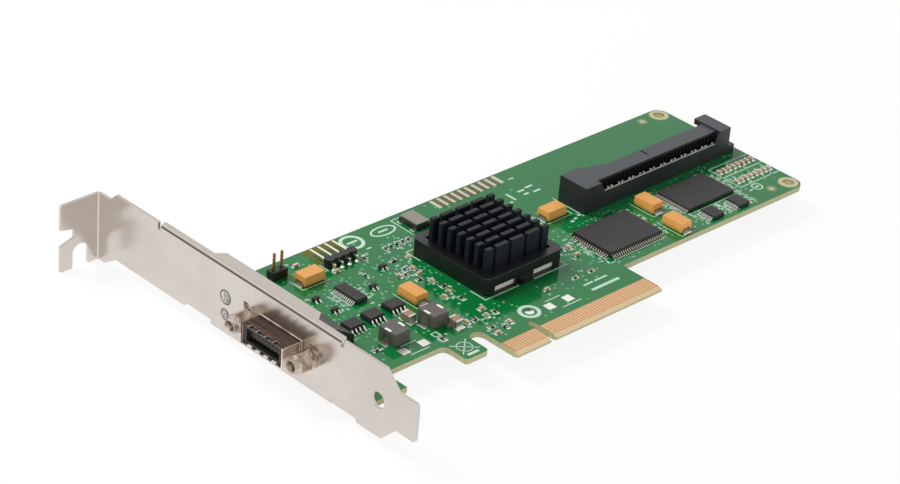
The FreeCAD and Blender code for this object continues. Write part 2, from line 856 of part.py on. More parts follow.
body = new_body("external_port_contacts")
lane_start = port_y - lane_pitch * (port_lanes - 1) / 2
lanes = []
for z in (port_z + card_thick / 2, port_z - card_thick / 2 - lane_thick):
    sketch = new_sketch(body, "XY_Plane", z)
    draw(sketch, rectangle((mouth_front + card_in + lane_in, mouth_back), about(lane_start, lane_wide)))
    lanes.append(pad(body, sketch, lane_thick))
sketch = new_sketch(body, "XY_Plane", 0)
draw(sketch, rectangle((inner + port_rear, inner + port_rear + lane_tail), about(lane_start, lane_wide / 2)))
lanes.append(pad(body, sketch, lane_thick))
row_of(body, lanes, "Y_Axis", port_lanes, lane_pitch)
keep(body, "external_port_contacts")

jacks = []
for y in jack_ys:
    post = hexagon("x", (outer - jack_long, y, port_z), jack_flats, jack_long)
    jacks.append(cut(post, [rod("x", (outer - jack_long, y, port_z), jack_bore, jack_deep)]))
keep(group(jacks, "jack_sockets"), "jack_sockets")

# Upright header
keep(cut(
    block(about(post_x, pin_pitch * 2), about(post_y, pin_pitch), (0, header_high)),
    [block(about(x, pin_thick), about(post_y, pin_thick), (0, header_high)) for x in post_spots],
), "jumper_header")
posts = []
for x in post_spots:
    posts.append(block(about(x, pin_thick), about(post_y, pin_thick), (-board_thick - pin_tail, post_high)))
keep(group(posts, "jumper_pins"), "jumper_pins")

# Right-angle header, its pins toward the far edge
pin_z = about(angle_pin_z, pin_thick)
keep(cut(
    block(about(angle_x, pin_pitch * 4), about(angle_y, pin_pitch), (0, header_high)),
    [block(about(x, pin_thick), about(angle_y, pin_pitch), pin_z) for x in angle_spots],
), "angle_header")
body = new_body("angle_pins")
sketch = new_sketch(body, "YZ_Plane", angle_spots[0] - pin_thick / 2)
pin_low, pin_up = pin_z
tail_y = about(angle_y - angle_tail, pin_thick)
draw(sketch, [
    (tail_y[0], -board_thick - pin_tail),
    (tail_y[1], -board_thick - pin_tail),
    (tail_y[1], pin_low),
    (angle_y + angle_reach, pin_low),
    (angle_y + angle_reach, pin_up),
    (tail_y[0], pin_up),
])
row_of(body, [pad(body, sketch, pin_thick)], "X_Axis", 4, pin_pitch)
keep(body, "angle_pins")


# Leaded packages; each is drawn about its own middle, with its lead rows along X, and then placed
def set_down(thing, x, y, turn):
    """Turn a piece drawn about the origin and stand it on its place."""
    thing.Placement = FreeCAD.Placement(FreeCAD.Vector(), FreeCAD.Rotation(FreeCAD.Vector(0, 0, 1), turn))
    bind(thing, "Placement.Base.x", x)
    bind(thing, "Placement.Base.y", y)
    return thing


def chip_case(x, y, turn, along_rows, across, low, high):
    long_x, long_y = (along_rows, across) if turn == 0 else (across, along_rows)
    return block(about(x, long_x), about(y, long_y), (low, high))


def lead_shape(wall, exit_z, thick, reach, foot, side):
    """Gull-wing profile from the case wall out and down to the board."""
    knee = wall + reach - foot
    shape = [
        (wall, exit_z),
        (knee - thick / 2, 0),
        (wall + reach, 0),
        (wall + reach, thick),
        (knee + thick / 2, thick),
        (wall, exit_z + thick),
    ]
    return shape if side > 0 else [(-u, v) for u, v in reversed(shape)]


def lead_rows(label, x, y, turn, across, count, pitch, wide, form, sides=(1, -1)):
    """Rows of leads along the case walls; form gives exit height, thickness, reach and foot."""
    rows = new_body(label)
    start = -pitch * (size(count) - 1) / 2 - wide / 2
    originals = []
    for side in sides:
        profile = new_sketch(rows, "YZ_Plane", start)
        draw(profile, lead_shape(across / 2, *form, side))
        originals.append(pad(rows, profile, wide))
    if size(count).value > 1:
        row_of(rows, originals, "X_Axis", size(count), pitch)
    return set_down(rows, x, y, turn)


# Buffer chip
fine = (fine_exit, fine_thick, fine_reach, fine_foot)

buffer_spot = on_grid(-27.3, 45.2)
keep(chip_case(*buffer_spot, 90, buffer_long, buffer_wide, stand_off, buffer_high), "buffer_chip")
rows = lead_rows("rows", *buffer_spot, 90, buffer_wide, buffer_pins, fine_pitch, fine_wide, fine)
keep(rows, "buffer_leads")

# Power switches
power = (power_exit, power_thick, power_reach, power_foot)

rows = []
for k, (x, y) in enumerate((on_grid(-37.1, 33.7), on_grid(-30.1, 34.0), on_grid(-22.7, 34.4))):
    keep(chip_case(x, y, 0, power_long, power_wide, stand_off, power_high), f"power_switch_{k + 1}")
    rows.append(lead_rows("rows", x, y, 0, power_wide, 4, power_pitch, power_lead, power))
keep(group(rows, "power_switch_leads"), "power_switch_leads")

# Small transistors: one lead on one side, two on the other
tiny = (tiny_exit, fine_thick, tiny_reach, tiny_reach / 2)

cases, rows = [], []
for x, y in (on_grid(-35.8, 48.7), on_grid(-35.4, 42.0), on_grid(-20.1, 44.7), on_grid(-11.6, 50.4)):
    cases.append(chip_case(x, y, 0, tiny_long, tiny_wide, stand_off, tiny_high))
    rows.append(lead_rows("rows", x, y, 0, tiny_wide, 2, tiny_pitch, tiny_lead, tiny, (-1,)))
    rows.append(lead_rows("rows", x, y, 0, tiny_wide, 1, tiny_pitch, tiny_lead, tiny, (1,)))
keep(group(cases, "small_transistors"), "small_transistors")
keep(group(rows, "small_transistor_leads"), "small_transistor_leads")

# Support processor, leads on four sides
proc_x, proc_y = on_grid(49.5, 25.3)
keep(chip_case(proc_x, proc_y, 0, proc_long, proc_wide, stand_off, proc_high), "support_processor")
keep(group([
    lead_rows("rows", proc_x, proc_y, 0, proc_wide, proc_long_pins, proc_pitch, fine_wide, fine),
    lead_rows("rows", proc_x, proc_y, 90, proc_long, proc_wide_pins, proc_pitch, fine_wide, fine),
], "support_processor_leads"), "support_processor_leads")

# Memory chip, leads on its two ends
mem = (mem_exit, fine_thick, mem_reach, mem_reach / 2)

mem_x, mem_y = on_grid(83.7, 28.3)
keep(chip_case(mem_x, mem_y, 90, mem_wide, mem_long, stand_off, mem_high), "memory_chip")
keep(lead_rows("rows", mem_x, mem_y, 90, mem_long, mem_pins, mem_pitch, mem_lead, mem), "memory_leads")

# Logic chips
logic = (logic_exit, fine_thick, fine_reach, fine_foot)

rows = []
for k, (x, y) in enumerate((on_grid(79.1, 18.05), on_grid(89.5, 18.05))):
    keep(chip_case(x, y, 90, logic_long, logic_wide, stand_off, logic_high), f"logic_chip_{k + 1}")
    rows.append(lead_rows("rows", x, y, 90, logic_wide, logic_pins, fine_pitch, fine_wide, logic))
keep(group(rows, "logic_chip_leads"), "logic_chip_leads")

# Tantalum capacitors, their folded terminals under and against the ends
ends = []
spots = (
    (*on_grid(-30.6, 57.0), 0),
    (*on_grid(-15.4, 35.0), 90),
    (conn_left - conn_clear - tant_long / 2, grid * 43.5, 0),
    (*on_grid(67.7, 31.0), 90),
    (*on_grid(66.2, 19.3), 90),
)
for k, (x, y, turn) in enumerate(spots):
    keep(chip_case(x, y, turn, tant_long, tant_wide, term_thick, tant_high), f"tantalum_capacitor_{k + 1}")
    pair = new_body("terminals")
    for side in (1, -1):
        wall = tant_long / 2
        profile = [
            (wall - term_under, 0),
            (wall + term_thick, 0),
            (wall + term_thick, term_high),
            (wall, term_high),
            (wall, term_thick),
            (wall - term_under, term_thick),
        ]
        profile = profile if side > 0 else [(-u, v) for u, v in reversed(profile)]
        sketch = new_sketch(pair, "XZ_Plane", -term_wide / 2)
        draw(sketch, profile)
        pad(pair, sketch, term_wide)
    ends.append(set_down(pair, x, y, turn))
keep(group(ends, "tantalum_terminals"), "tantalum_terminals")

# Power inductors with clip terminals on their ends
clips = []
for k, (x, y) in enumerate((on_grid(-32.5, 23.5), on_grid(-19.1, 23.8))):
    keep(chip_case(x, y, 0, coil_long, coil_wide, 0, coil_high), f"power_inductor_{k + 1}")
    for side in (1, -1):
        wall = coil_long / 2
        outline = [
            (wall, 0),
            (wall + clip_long, 0),
            (wall + clip_long, clip_thick),
            (wall + clip_thick, clip_thick),
            (wall + clip_thick, clip_high),
            (wall, clip_high),
        ]
        outline = outline if side > 0 else [(-u, v) for u, v in reversed(outline)]
        clip = sheet_piece("clip", "XZ_Plane", -clip_wide / 2, outline, clip_wide)
        clips.append(set_down(clip, x, y, 0))
keep(group(clips, "inductor_terminals"), "inductor_terminals")


# Chip parts
def end_caps(x, y, turn, length, width, height, cap):
    """The two plated ends of a chip part."""
    made = []
    for low, high in ((-length / 2, cap - length / 2), (length / 2 - cap, length / 2)):
        if turn == 0:
            made.append(block((x + low, x + high), about(y, width), (0, height)))
        else:
            made.append(block(about(x, width), (y + low, y + high), (0, height)))
    return made


bulks, caps = [], []
for x, y in (on_grid(-23.6, 27.9), on_grid(-15.8, 19.0)):
    bulks.append(chip_case(x, y, 90, bulk_long - bulk_cap * 2, bulk_wide, 0, bulk_high))
    caps += end_caps(x, y, 90, bulk_long, bulk_wide, bulk_high, bulk_cap)
keep(group(bulks, "bulk_capacitors"), "bulk_capacitors")
keep(group(caps, "bulk_capacitor_caps"), "bulk_capacitor_caps")

end_rows = [(98.0 + 1.9 * k, y, 90) for y in (32.3, 25.9) for k in range(8)]
behind = [(-4.1 + 2.0 * k, 56.9, 90) for k in range(5)]
resistor_spots = behind + [
    (-6.9, 51.3, 0), (-7.4, 46.2, 90), (-9.0, 44.1, 90), (-8.0, 40.4, 0), (-5.1, 34.4, 0), (-5.6, 27.4, 90),
    (-10.2, 17.9, 0), (-3.2, 17.6, 90), (-9.2, 12.9, 0), (-6.2, 10.9, 90), (24.8, 17.1, 0), (30.7, 17.1, 0),
    (-39.6, 22.2, 0), (-22.7, 16.3, 90), (-11.9, 56.6, 90), (32.6, 29.2, 90), (-17.6, 49.9, 90),
]
capacitor_spots = end_rows + [
    (-2.3, 50.1, 90), (-5.4, 45.4, 90), (-6.0, 42.6, 0), (-5.8, 37.8, 90), (-6.0, 31.4, 90), (-8.6, 30.4, 90),
    (-12.6, 18.2, 90), (-5.2, 20.6, 0), (-6.3, 17.5, 90), (-3.8, 11.9, 90), (-9.9, 10.0, 0), (14.7, 17.3, 0),
    (34.6, 28.6, 90), (33.8, 24.9, 0), (-28.9, 64.3, 0), (-22.2, 56.0, 0), (-10.8, 44.6, 90),
]
for label, spots, high in (
    ("chip_resistors", resistor_spots, resistor_high),
    ("chip_capacitors", capacitor_spots, cap_high),
):
    made = [chip_case(*on_grid(x, y), turn, chip_long, chip_wide, 0, high) for x, y, turn in spots]
    keep(group(made, label), label)

# Clock oscillator
clock_x = grid * 10.9
clock_y = board_top - clock_in
rim2 = clock_rim * 2
clock_top = clock_base + clock_lid
keep(block(about(clock_x, clock_wide), about(clock_y, clock_long), (0, clock_base)), "oscillator_base")
lid_y = about(clock_y, clock_long - rim2)
keep(block(about(clock_x, clock_wide - rim2), lid_y, (clock_base, clock_top)), "oscillator_lid")

# Controller under its heatsink, held by a clip-on frame
case_top = hub_base + hub_high
wax_top = case_top + wax_thick
base_top = wax_top + sink_base
frame_top = base_top + frame_lip
frame_side = larger(hub_wide, sink_wide) + frame_fit * 2 + frame_wall * 2
lip_side = sink_wide - lip_over * 2
hub_square = (about(hub_x, hub_wide), about(hub_y, hub_wide))
cap_square = (about(hub_x, hub_cap), about(hub_y, hub_cap))
keep(block(*hub_square, (0, hub_base)), "controller_substrate")
keep(block(*cap_square, (hub_base, case_top)), "controller_case")
keep(block(*cap_square, (case_top, wax_top)), "thermal_pad")

sink = new_body("heatsink")
sketch = new_sketch(sink, "XY_Plane", wax_top)
draw(sketch, rectangle(about(hub_x, sink_wide), about(hub_y, sink_wide)))
pad(sink, sketch, sink_base)
sketch = new_sketch(sink, "XY_Plane", base_top)
fin_rows = whole((lip_side - fin_thick) / fin_pitch) + 1
first_row = hub_y - fin_pitch * (fin_rows - 1) / 2
fin_end = (lip_side - fin_clear * 2 - fin_long * 3 - fin_gap * 4) / 2
fin_x = hub_x - lip_side / 2 + fin_clear
for length in (fin_end, fin_long, fin_long, fin_long, fin_end):
    draw(sketch, rectangle((fin_x, fin_x + length), about(first_row, fin_thick)))
    fin_x = fin_x + length + fin_gap
row_of(sink, [pad(sink, sketch, fin_top - base_top)], "Y_Axis", fin_rows, fin_pitch)
keep(sink, "heatsink")

frame_x = about(hub_x, frame_side)
frame_y = about(hub_y, frame_side)
pocket_side = hub_wide + frame_fit * 2
seat_side = larger(sink_wide, hub_cap) + frame_fit * 2
frame = fuse([
    sheet_piece("frame_wall", "XY_Plane", 0, [
        (frame_x[0] + frame_bevel, frame_y[0]),
        (frame_x[1] - frame_bevel, frame_y[0]),
        (frame_x[1], frame_y[0] + frame_bevel),
        (frame_x[1], frame_y[1] - frame_bevel),
        (frame_x[1] - frame_bevel, frame_y[1]),
        (frame_x[0] + frame_bevel, frame_y[1]),
        (frame_x[0], frame_y[1] - frame_bevel),
        (frame_x[0], frame_y[0] + frame_bevel),
    ], frame_top),
    block(about(hub_x, latch_wide), (frame_y[0] - latch_out, frame_y[1] + latch_out), (0, latch_high)),
])
openings = [
    block(about(hub_x, pocket_side), about(hub_y, pocket_side), (0, case_top)),
    block(about(hub_x, seat_side), about(hub_y, seat_side), (case_top, base_top)),
    block(about(hub_x, lip_side), about(hub_y, lip_side), (base_top, frame_top)),
]
for side in (-1, 1):
    middle = hub_x + (latch_wide / 2 + port_gap + sight_wide / 2) * side
    openings.append(block(about(middle, sight_wide), frame_y, (sight_low, sight_low + sight_high)))
keep(cut(frame, openings), "heatsink_frame")

# Internal connector: two end blocks, a thick rear wall, a low front wall and a latch tower
bay_left = conn_left + conn_end
bay_right = conn_right - tower_long
rear_wall = (conn_y + conn_front + conn_slot, conn_y + conn_back)
conn_far = conn_y + conn_deep
housing = fuse([
    block((conn_left, bay_left), (conn_y, conn_far), (0, conn_high)),
    block((bay_left, bay_right), rear_wall, (0, conn_high)),
    sheet_piece("rear_wedge", "XY_Plane", 0, [
        (bay_left, rear_wall[1]),
        (bay_left + wedge_long, rear_wall[1]),
        (bay_left, conn_far),
    ], conn_high),
    block((bay_left, bay_right), (conn_y, rear_wall[0]), (0, conn_floor)),
    block((bay_left, bay_right), (conn_y, conn_y + conn_front), (conn_floor, conn_lip)),
    block((bay_right, conn_right), (conn_y, conn_far), (0, tower_high)),
    block((conn_right, conn_right + peg_long), (conn_y, conn_y + peg_deep), (0, peg_high)),
])
slit_x = about(conn_left + conn_long * 0.481, slit_wide)
keep(cut(housing, [
    block((bay_right, conn_right), (conn_far - tower_gap, conn_far), (conn_lip, tower_high - tower_bar)),
    block(slit_x, (rear_wall[1] - slit_long, rear_wall[1]), (conn_high - slit_deep, conn_high)),
]), "internal_connector_housing")

body = new_body("internal_connector_contacts")
sketch = new_sketch(body, "XY_Plane", conn_floor)
pole_y = conn_y + conn_front
pole_count = whole((bay_right - bay_left - pole_in * 2 - pole_wide) / pole_pitch) + 1
pole_x = (bay_left + bay_right) / 2 - pole_pitch * (pole_count - 1) / 2
draw(sketch, rectangle(about(pole_x, pole_wide), (pole_y, pole_y + pole_thick)))
row_of(body, [pad(body, sketch, pole_high - conn_floor)], "X_Axis", pole_count, pole_pitch)
keep(body, "internal_connector_contacts")

doc.recompute()
for item in doc.Objects:
    if "Invalid" in item.State or "Error" in item.State:
        raise RuntimeError(f"{item.Label} did not build: {item.State}")
os.makedirs("parts", exist_ok=True)
for item in nodes:
    shape = item.Shape
    if shape.isNull() or not shape.isValid():
        raise RuntimeError(f"{item.Label} has no valid shape")
    shape.exportStep(os.path.join("parts", f"{item.Label}.step"))
print(f"{len(nodes)} pieces written")
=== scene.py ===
import math
import random

import bmesh
import bpy
from bpy.props import FloatProperty, FloatVectorProperty, IntProperty, PointerProperty
from mathutils import Matrix, Vector


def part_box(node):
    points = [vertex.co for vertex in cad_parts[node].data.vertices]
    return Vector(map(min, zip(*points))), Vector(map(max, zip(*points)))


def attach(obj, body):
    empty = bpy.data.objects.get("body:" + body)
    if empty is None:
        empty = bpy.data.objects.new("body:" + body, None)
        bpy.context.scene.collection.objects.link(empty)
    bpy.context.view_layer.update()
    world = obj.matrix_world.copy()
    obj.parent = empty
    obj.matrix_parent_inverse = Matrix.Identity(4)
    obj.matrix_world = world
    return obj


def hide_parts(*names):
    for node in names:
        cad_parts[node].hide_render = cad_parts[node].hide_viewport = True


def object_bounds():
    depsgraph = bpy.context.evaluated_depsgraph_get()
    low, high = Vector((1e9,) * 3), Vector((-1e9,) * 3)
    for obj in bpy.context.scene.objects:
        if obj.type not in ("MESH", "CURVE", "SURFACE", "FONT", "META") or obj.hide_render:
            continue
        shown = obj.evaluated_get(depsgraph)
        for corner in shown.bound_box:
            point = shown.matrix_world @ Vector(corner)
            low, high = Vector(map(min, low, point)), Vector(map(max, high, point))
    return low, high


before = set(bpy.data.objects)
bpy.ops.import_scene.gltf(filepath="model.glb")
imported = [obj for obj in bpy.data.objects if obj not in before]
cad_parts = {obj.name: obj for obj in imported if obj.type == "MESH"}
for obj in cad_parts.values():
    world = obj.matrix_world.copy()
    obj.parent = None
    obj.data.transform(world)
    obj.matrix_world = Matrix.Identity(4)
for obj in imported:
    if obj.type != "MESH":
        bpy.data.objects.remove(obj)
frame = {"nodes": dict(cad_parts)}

bl_info = {
    "name": "Host bus adapter looks",
    "version": (1, 0, 0),
    "blender": (4, 5, 0),
    "location": "3D View > Sidebar > Adapter",
    "description": "Dresses a host bus adapter card with finishes, solder, print and fine parts",
    "category": "Object",
}

MM = 0.001
CAD_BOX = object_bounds()


def tone(*shown):
    """A display colour, 0 to 255, as the linear colour that Blender mixes with."""
    shares = [value / 255 for value in shown]
    return tuple(v / 12.92 if v <= 0.04045 else ((v + 0.055) / 1.055) ** 2.4 for v in shares)


def colour(label, note, *shown):
    return FloatVectorProperty(
        name=label, description=note, default=tone(*shown), subtype="COLOR", min=0, max=1)


def length(label, note, millimetres):
    return FloatProperty(name=label, description=note, default=millimetres * MM, unit="LENGTH", precision=6)


def rotation(label, note, degrees):
    return FloatProperty(name=label, description=note, default=math.radians(degrees), subtype="ANGLE")


def power(label, note, watts):
    return FloatProperty(name=label, description=note, default=watts, min=0, unit="POWER")


def position(label, note, *metres):
    return FloatVectorProperty(
        name=label, description=note, default=metres, subtype="TRANSLATION", unit="LENGTH")


class CardColours(bpy.types.PropertyGroup):
    """Colours of the card's finishes."""

    mask: colour("Solder mask", "Green lacquer over the board", 0, 114, 51)
    track: colour("Mask over copper", "Lacquer over a copper track", 16, 132, 68)
    # an olive tint of the board under the angled header's pins
    clear: colour("Mask over laminate", "Lacquer where no copper lies under it", 104, 98, 22)
    khaki: colour("Bare ground", "Laminate between the lands of the far row", 104, 100, 66)
    clearing: colour("Clearing", "Bare laminate round the targets", 128, 146, 96)
    laminate: colour("Laminate", "Glass laminate at the board's edges", 203, 201, 156)
    tab: colour("Tab ground", "Laminate between the edge contacts", 186, 142, 98)
    lead_in: colour("Lead-in", "Bevel along the tab", 228, 202, 160)
    ink: colour("Print", "White print on the board", 198, 224, 206)
    via: colour("Via ring", "Lacquered rings of the vias", 132, 190, 152)
    gold: colour("Gold", "Edge contacts", 226, 184, 140)
    ring: colour("Hole plating", "Rings and barrels of the corner holes", 198, 190, 148)
    tin: colour("Tin", "Leads and end caps", 222, 222, 214)
    fine: colour("Fine lead tin", "Leads of the processor and the memory", 198, 184, 172)
    # painted shade: darker tin for the side terminals of the large parts
    dull: colour("Dull tin", "Side terminals of the large parts", 142, 138, 126)
    land: colour("Land tin", "Large bare lands of the board", 252, 252, 244)
    far_land: colour("Far land tin", "Bare lands along the far edge", 210, 211, 190)
    solder: colour("Solder", "Solder on pads and pins, and spring contacts", 236, 240, 230)
    pin: colour("Pin plating", "Header pins", 250, 244, 220)
    aged: colour("Aged plating", "Upright header pins", 166, 146, 112)
    lane: colour("Lane plating", "Contacts inside the external port", 104, 94, 70)
    steel: colour("Bracket steel", "Satin plated sheet of the bracket", 216, 208, 201)
    # painted shade: the upper colour darkens the bracket's faces that look up
    upper: colour("Bracket steel, upper edge", "Duller sheet of the upper flange", 196, 187, 179)
    # painted shade: a dark line along the bend to the upper flange
    fold: colour("Fold shade", "Dark line along the upper fold", 84, 74, 62)
    nickel: colour("Port metal", "Sides of the port's shell", 236, 224, 215)
    socket: colour("Jack metal", "Jack sockets of the external port", 192, 177, 164)
    # painted reflection: a dark brown for the port shell's upper side, as it mirrors a dark room
    nickel_top_painted_reflection: colour("Port metal, upper side", "Dull upper side of the port's shell", 88, 71, 60)
    mouth: colour("Mouth edge", "Dark front edge round the port's mouth", 66, 60, 55)
    black: colour("Black plastic", "Headers and indicator housing", 22, 22, 22)
    insulator: colour("Insulator plastic", "Insulator of the external port", 44, 41, 36)
    frame: colour("Frame plastic", "Frame round the heatsink", 13, 14, 17)
    grey: colour("Connector plastic", "Internal connector", 60, 64, 67)
    # painted shade: near-black ribs inside the connector's slot, darker than its grey plastic
    deep: colour("Deep black plastic", "Ribs between the connector's contacts", 10, 10, 11)
    # painted highlight: a light line along the top edge of the connector's front wall
    rim: colour("Worn rim", "Top of the connector's front wall", 200, 203, 203)
    mould: colour("Chip moulding", "Epoxy of the chip cases", 42, 40, 39)
    dot: colour("Pin mark", "Moulded dot beside a chip's first lead", 70, 68, 66)
    substrate: colour("Substrate", "Controller substrate", 255, 248, 240)
    pad: colour("Thermal pad", "Pad between controller and heatsink", 176, 160, 160)
    anodised: colour("Anodised metal", "Heatsink", 16, 19, 24)
    tantalum: colour("Tantalum case", "Moulded capacitor cases", 226, 160, 84)
    ferrite: colour("Ferrite", "Power inductor bodies", 96, 91, 86)
    brown: colour("Brown ceramic", "Ceramic capacitor bodies", 166, 128, 106)
    tan: colour("Tan ceramic", "Bodies of the small ceramic capacitors", 208, 174, 142)
    dark: colour("Black ceramic", "Resistor bodies and oscillator base", 40, 36, 34)
    lid: colour("Lid metal", "Oscillator lid", 154, 146, 136)
    lens: colour("Lens", "Frosted indicator lenses", 206, 202, 198)


class CardSizes(bpy.types.PropertyGroup):
    """Sizes of the fine parts that the solids leave out."""

    ring: length("Hole ring", "Outer radius of the plated rings round the corner holes", 2.85)
    plate: length("Plating", "Height of pads, rings and tracks over the board", 0.03)
    print_high: length("Print height", "Height of the print over the board", 0.04)
    line: length("Print line", "Width of a printed line", 0.3)
    track: length("Track", "Width of a copper track", 0.2)
    via: length("Via", "Outer radius of a via's ring", 0.34)
    cap: length("End cap", "Length of a chip part's plated ends", 0.46)
    toe: length("Solder", "Reach of the solder beyond a lead or an end", 0.3)
    draft: length("Draft", "How far a moulded case tapers to its top and bottom", 0.16)
    edge: length("Sheet edge", "Rounding of the bracket's edges", 0.12)
    seed: IntProperty(name="Seed", description="Seed of the scattered vias and tracks", default=11)


class CardStage(bpy.types.PropertyGroup):
    """Camera and light."""

    lens: FloatProperty(name="Lens", description="Focal length", default=115.885, unit="CAMERA")
    azimuth: rotation("Azimuth", "Camera's turn round the card", -46.236)
    elevation: rotation("Elevation", "Camera's height over the board", 30.017)
    roll: rotation("Roll", "Camera's turn about its view", 4.887)
    aim: position("Aim", "Point on the board that the camera looks at", 11.652 * MM, 49.605 * MM, 0)
    distance: length("Distance", "Camera to that point", 754.385)
    sky: FloatProperty(name="Sky", description="Strength of the even white light", default=0.36, min=0)
    box: power("Soft box", "Power of the soft box", 8.2)
    box_at: position("Soft box place", "Place of the soft box from the middle of the card", -0.24, 0.6, 0.72)
    fill: power("Fill", "Power of the weak front light", 1.7)
    fill_at: position("Fill place", "Place of the front light from the middle of the card", -0.45, -0.8, 0.3)
    shade: FloatProperty(
        name="Shade", description="How much of the floor's shadow shows", default=0.1, min=0, max=1,
        subtype="FACTOR")


def colours():
    return bpy.context.scene.card_colours


def sizes():
    return bpy.context.scene.card_sizes


# Frame and mesh helpers, in millimetres
def span(node):
    """Lowest and highest corner of a CAD node."""
    low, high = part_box(node)
    return low / MM, high / MM


def islands(node):
    """The corner points of each separate solid in a CAD node, in the same order on every run."""
    bm = bmesh.new()
    bm.from_mesh(frame["nodes"][node].data)
    bmesh.ops.remove_doubles(bm, verts=bm.verts, dist=1e-6)
    found, left = [], dict.fromkeys(bm.verts)
    while left:
        group, reach = [], [left.popitem()[0]]
        while reach:
            vert = reach.pop()
            group.append(vert.co / MM)
            for edge in vert.link_edges:
                other = edge.other_vert(vert)
                if other in left:
                    del left[other]
                    reach.append(other)
        found.append(group)
    bm.free()
    return sorted(found, key=lambda points: tuple(round(v, 2) for v in sum(points, Vector()) / len(points)))


def box_of(points):
    low = Vector([min(p[k] for p in points) for k in range(3)])
    high = Vector([max(p[k] for p in points) for k in range(3)])
    return low, high


def long_axis(low, high):
    """The axis, 0 for X or 1 for Y, along which a box is longer on the board."""
    return 0 if high.x - low.x > high.y - low.y else 1


def is_small(box):
    """Whether a box is as wide as a small part's."""
    return 0.5 < box[1].x - box[0].x < 3.4


def skin(bm, rings, closed=True):
    """Faces between rings of points of equal count, with a face over each end."""
    rows = [[bm.verts.new(p) for p in ring] for ring in rings]
    count = len(rows[0])
    for row, following in zip(rows, rows[1:]):
        for k in range(count):
            bm.faces.new((row[k], row[(k + 1) % count], following[(k + 1) % count], following[k]))
    if closed:
        bm.faces.new(list(reversed(rows[0])))
        bm.faces.new(rows[-1])


def rectangle(low, high, z, inset=0.0):
    return [
        (low[0] + inset, low[1] + inset, z),
        (high[0] - inset, low[1] + inset, z),
        (high[0] - inset, high[1] - inset, z),
        (low[0] + inset, high[1] - inset, z),
    ]


def slab(bm, low, high, inset=0.0):
    """A box whose top may be drawn in."""
    skin(bm, [rectangle(low, high, low[2]), rectangle(low, high, high[2], inset)])


def turns(count):
    """Cosine and sine of even steps round a circle."""
    return [(math.cos(2 * math.pi * k / count), math.sin(2 * math.pi * k / count)) for k in range(count)]


def circle(x, y, z, radius, steps=32):
    return [(x + radius * c, y + radius * s, z) for c, s in turns(steps)]


def disc(bm, x, y, low, high, radius, steps, top=None):
    skin(bm, [circle(x, y, low, radius, steps), circle(x, y, high, radius if top is None else top, steps)])


def loop(bm, rings):
    """A closed ring of faces through circles of equal count, such as a washer's section."""
    skin(bm, [*rings, rings[0]], closed=False)


def washer(bm, x, y, low, high, inner, outer, steps):
    loop(bm, [circle(x, y, low, inner, steps), circle(x, y, low, outer, steps),
              circle(x, y, high, outer, steps), circle(x, y, high, inner, steps)])


def ribbon(bm, points, wide, low, high):
    """A flat strip of even width along a line of points."""
    line = [Vector(p) for p in points]
    sides = []
    for k, point in enumerate(line):
        before = (point - line[k - 1]).normalized() if k else (line[1] - point).normalized()
        after = (line[k + 1] - point).normalized() if k + 1 < len(line) else before
        along = (before + after).normalized()
        across = Vector((-along.y, along.x))
        reach = wide / 2 / max(0.4, across.dot(Vector((-after.y, after.x))))
        sides.append((point + across * reach, point - across * reach))
    for (a, b), (c, d) in zip(sides, sides[1:]):
        skin(bm, [[(*p, low) for p in (a, b, d, c)], [(*p, high) for p in (a, b, d, c)]])


def piece(name, bm, material, bevel=0.0, replaces=(), smooth=40):
    """Turn a mesh drawn in millimetres into a piece that rides on the card."""
    bmesh.ops.remove_doubles(bm, verts=bm.verts, dist=1e-4)
    bmesh.ops.recalc_face_normals(bm, faces=bm.faces)
    bmesh.ops.scale(bm, vec=(MM, MM, MM), verts=bm.verts)
    mesh = bpy.data.meshes.new(name)
    bm.to_mesh(mesh)
    bm.free()
    mesh.materials.append(material)
    thing = bpy.data.objects.new(name, mesh)
    bpy.context.scene.collection.objects.link(thing)
    mesh.shade_smooth()
    mesh.set_sharp_from_angle(angle=math.radians(smooth))
    if bevel:
        round_edges(thing, bevel)
    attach(thing, "root")
    if replaces:
        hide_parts(*replaces)


def round_edges(thing, wide):
    bevel = thing.modifiers.new("rounded_edges", "BEVEL")
    bevel.width = wide * MM
    bevel.segments = 2
    bevel.limit_method = "ANGLE"
    bevel.angle_limit = math.radians(35)
    bevel.miter_outer = "MITER_ARC"
    normals = thing.modifiers.new("even_normals", "WEIGHTED_NORMAL")
    normals.keep_sharp = False


def dress(node, material, bevel=0.0):
    """Give a CAD node its finish, and round its edges without touching its mesh."""
    thing = frame["nodes"][node]
    thing.data.materials.clear()
    thing.data.materials.append(material)
    if bevel:
        weld = thing.modifiers.new("joined_corners", "WELD")
        weld.merge_threshold = 0.001 * MM
        round_edges(thing, bevel)


# Shader helpers
def new_group(name, inputs, outputs):
    """An empty shader node group with number inputs and outputs."""
    tree = bpy.data.node_groups.new(name, "ShaderNodeTree")
    for label, value in inputs.items():
        socket = tree.interface.new_socket(label, in_out="INPUT", socket_type="NodeSocketFloat")
        socket.default_value = value
    for label in outputs:
        tree.interface.new_socket(label, in_out="OUTPUT", socket_type="NodeSocketFloat")
    return tree, tree.nodes.new("NodeGroupInput"), tree.nodes.new("NodeGroupOutput")


def add_node(tree, kind, links=None, **values):
    """Place a node; values set its properties, links feed its sockets from sockets or numbers."""
    node = tree.nodes.new(kind)
    for label, value in values.items():
        setattr(node, label, value)
    for label, source in (links or {}).items():
        socket = node.inputs[label]
        if isinstance(source, bpy.types.NodeSocket):
            tree.links.new(source, socket)
        else:
            socket.default_value = source
    return node


def maths(tree, operation, one, other=0.0):
    return add_node(tree, "ShaderNodeMath", {0: one, 1: other}, operation=operation).outputs[0]


def between(tree, value, low, high):
    """0 up to the low end and 1 from the high end."""
    return add_node(tree, "ShaderNodeMapRange", {
        "Value": value, "From Min": low, "From Max": high}).outputs[0]


def ranged(tree, share, low, high):
    """A share from 0 to 1 as a number from low to high."""
    return add_node(tree, "ShaderNodeMapRange", {"Value": share, "To Min": low, "To Max": high}).outputs[0]


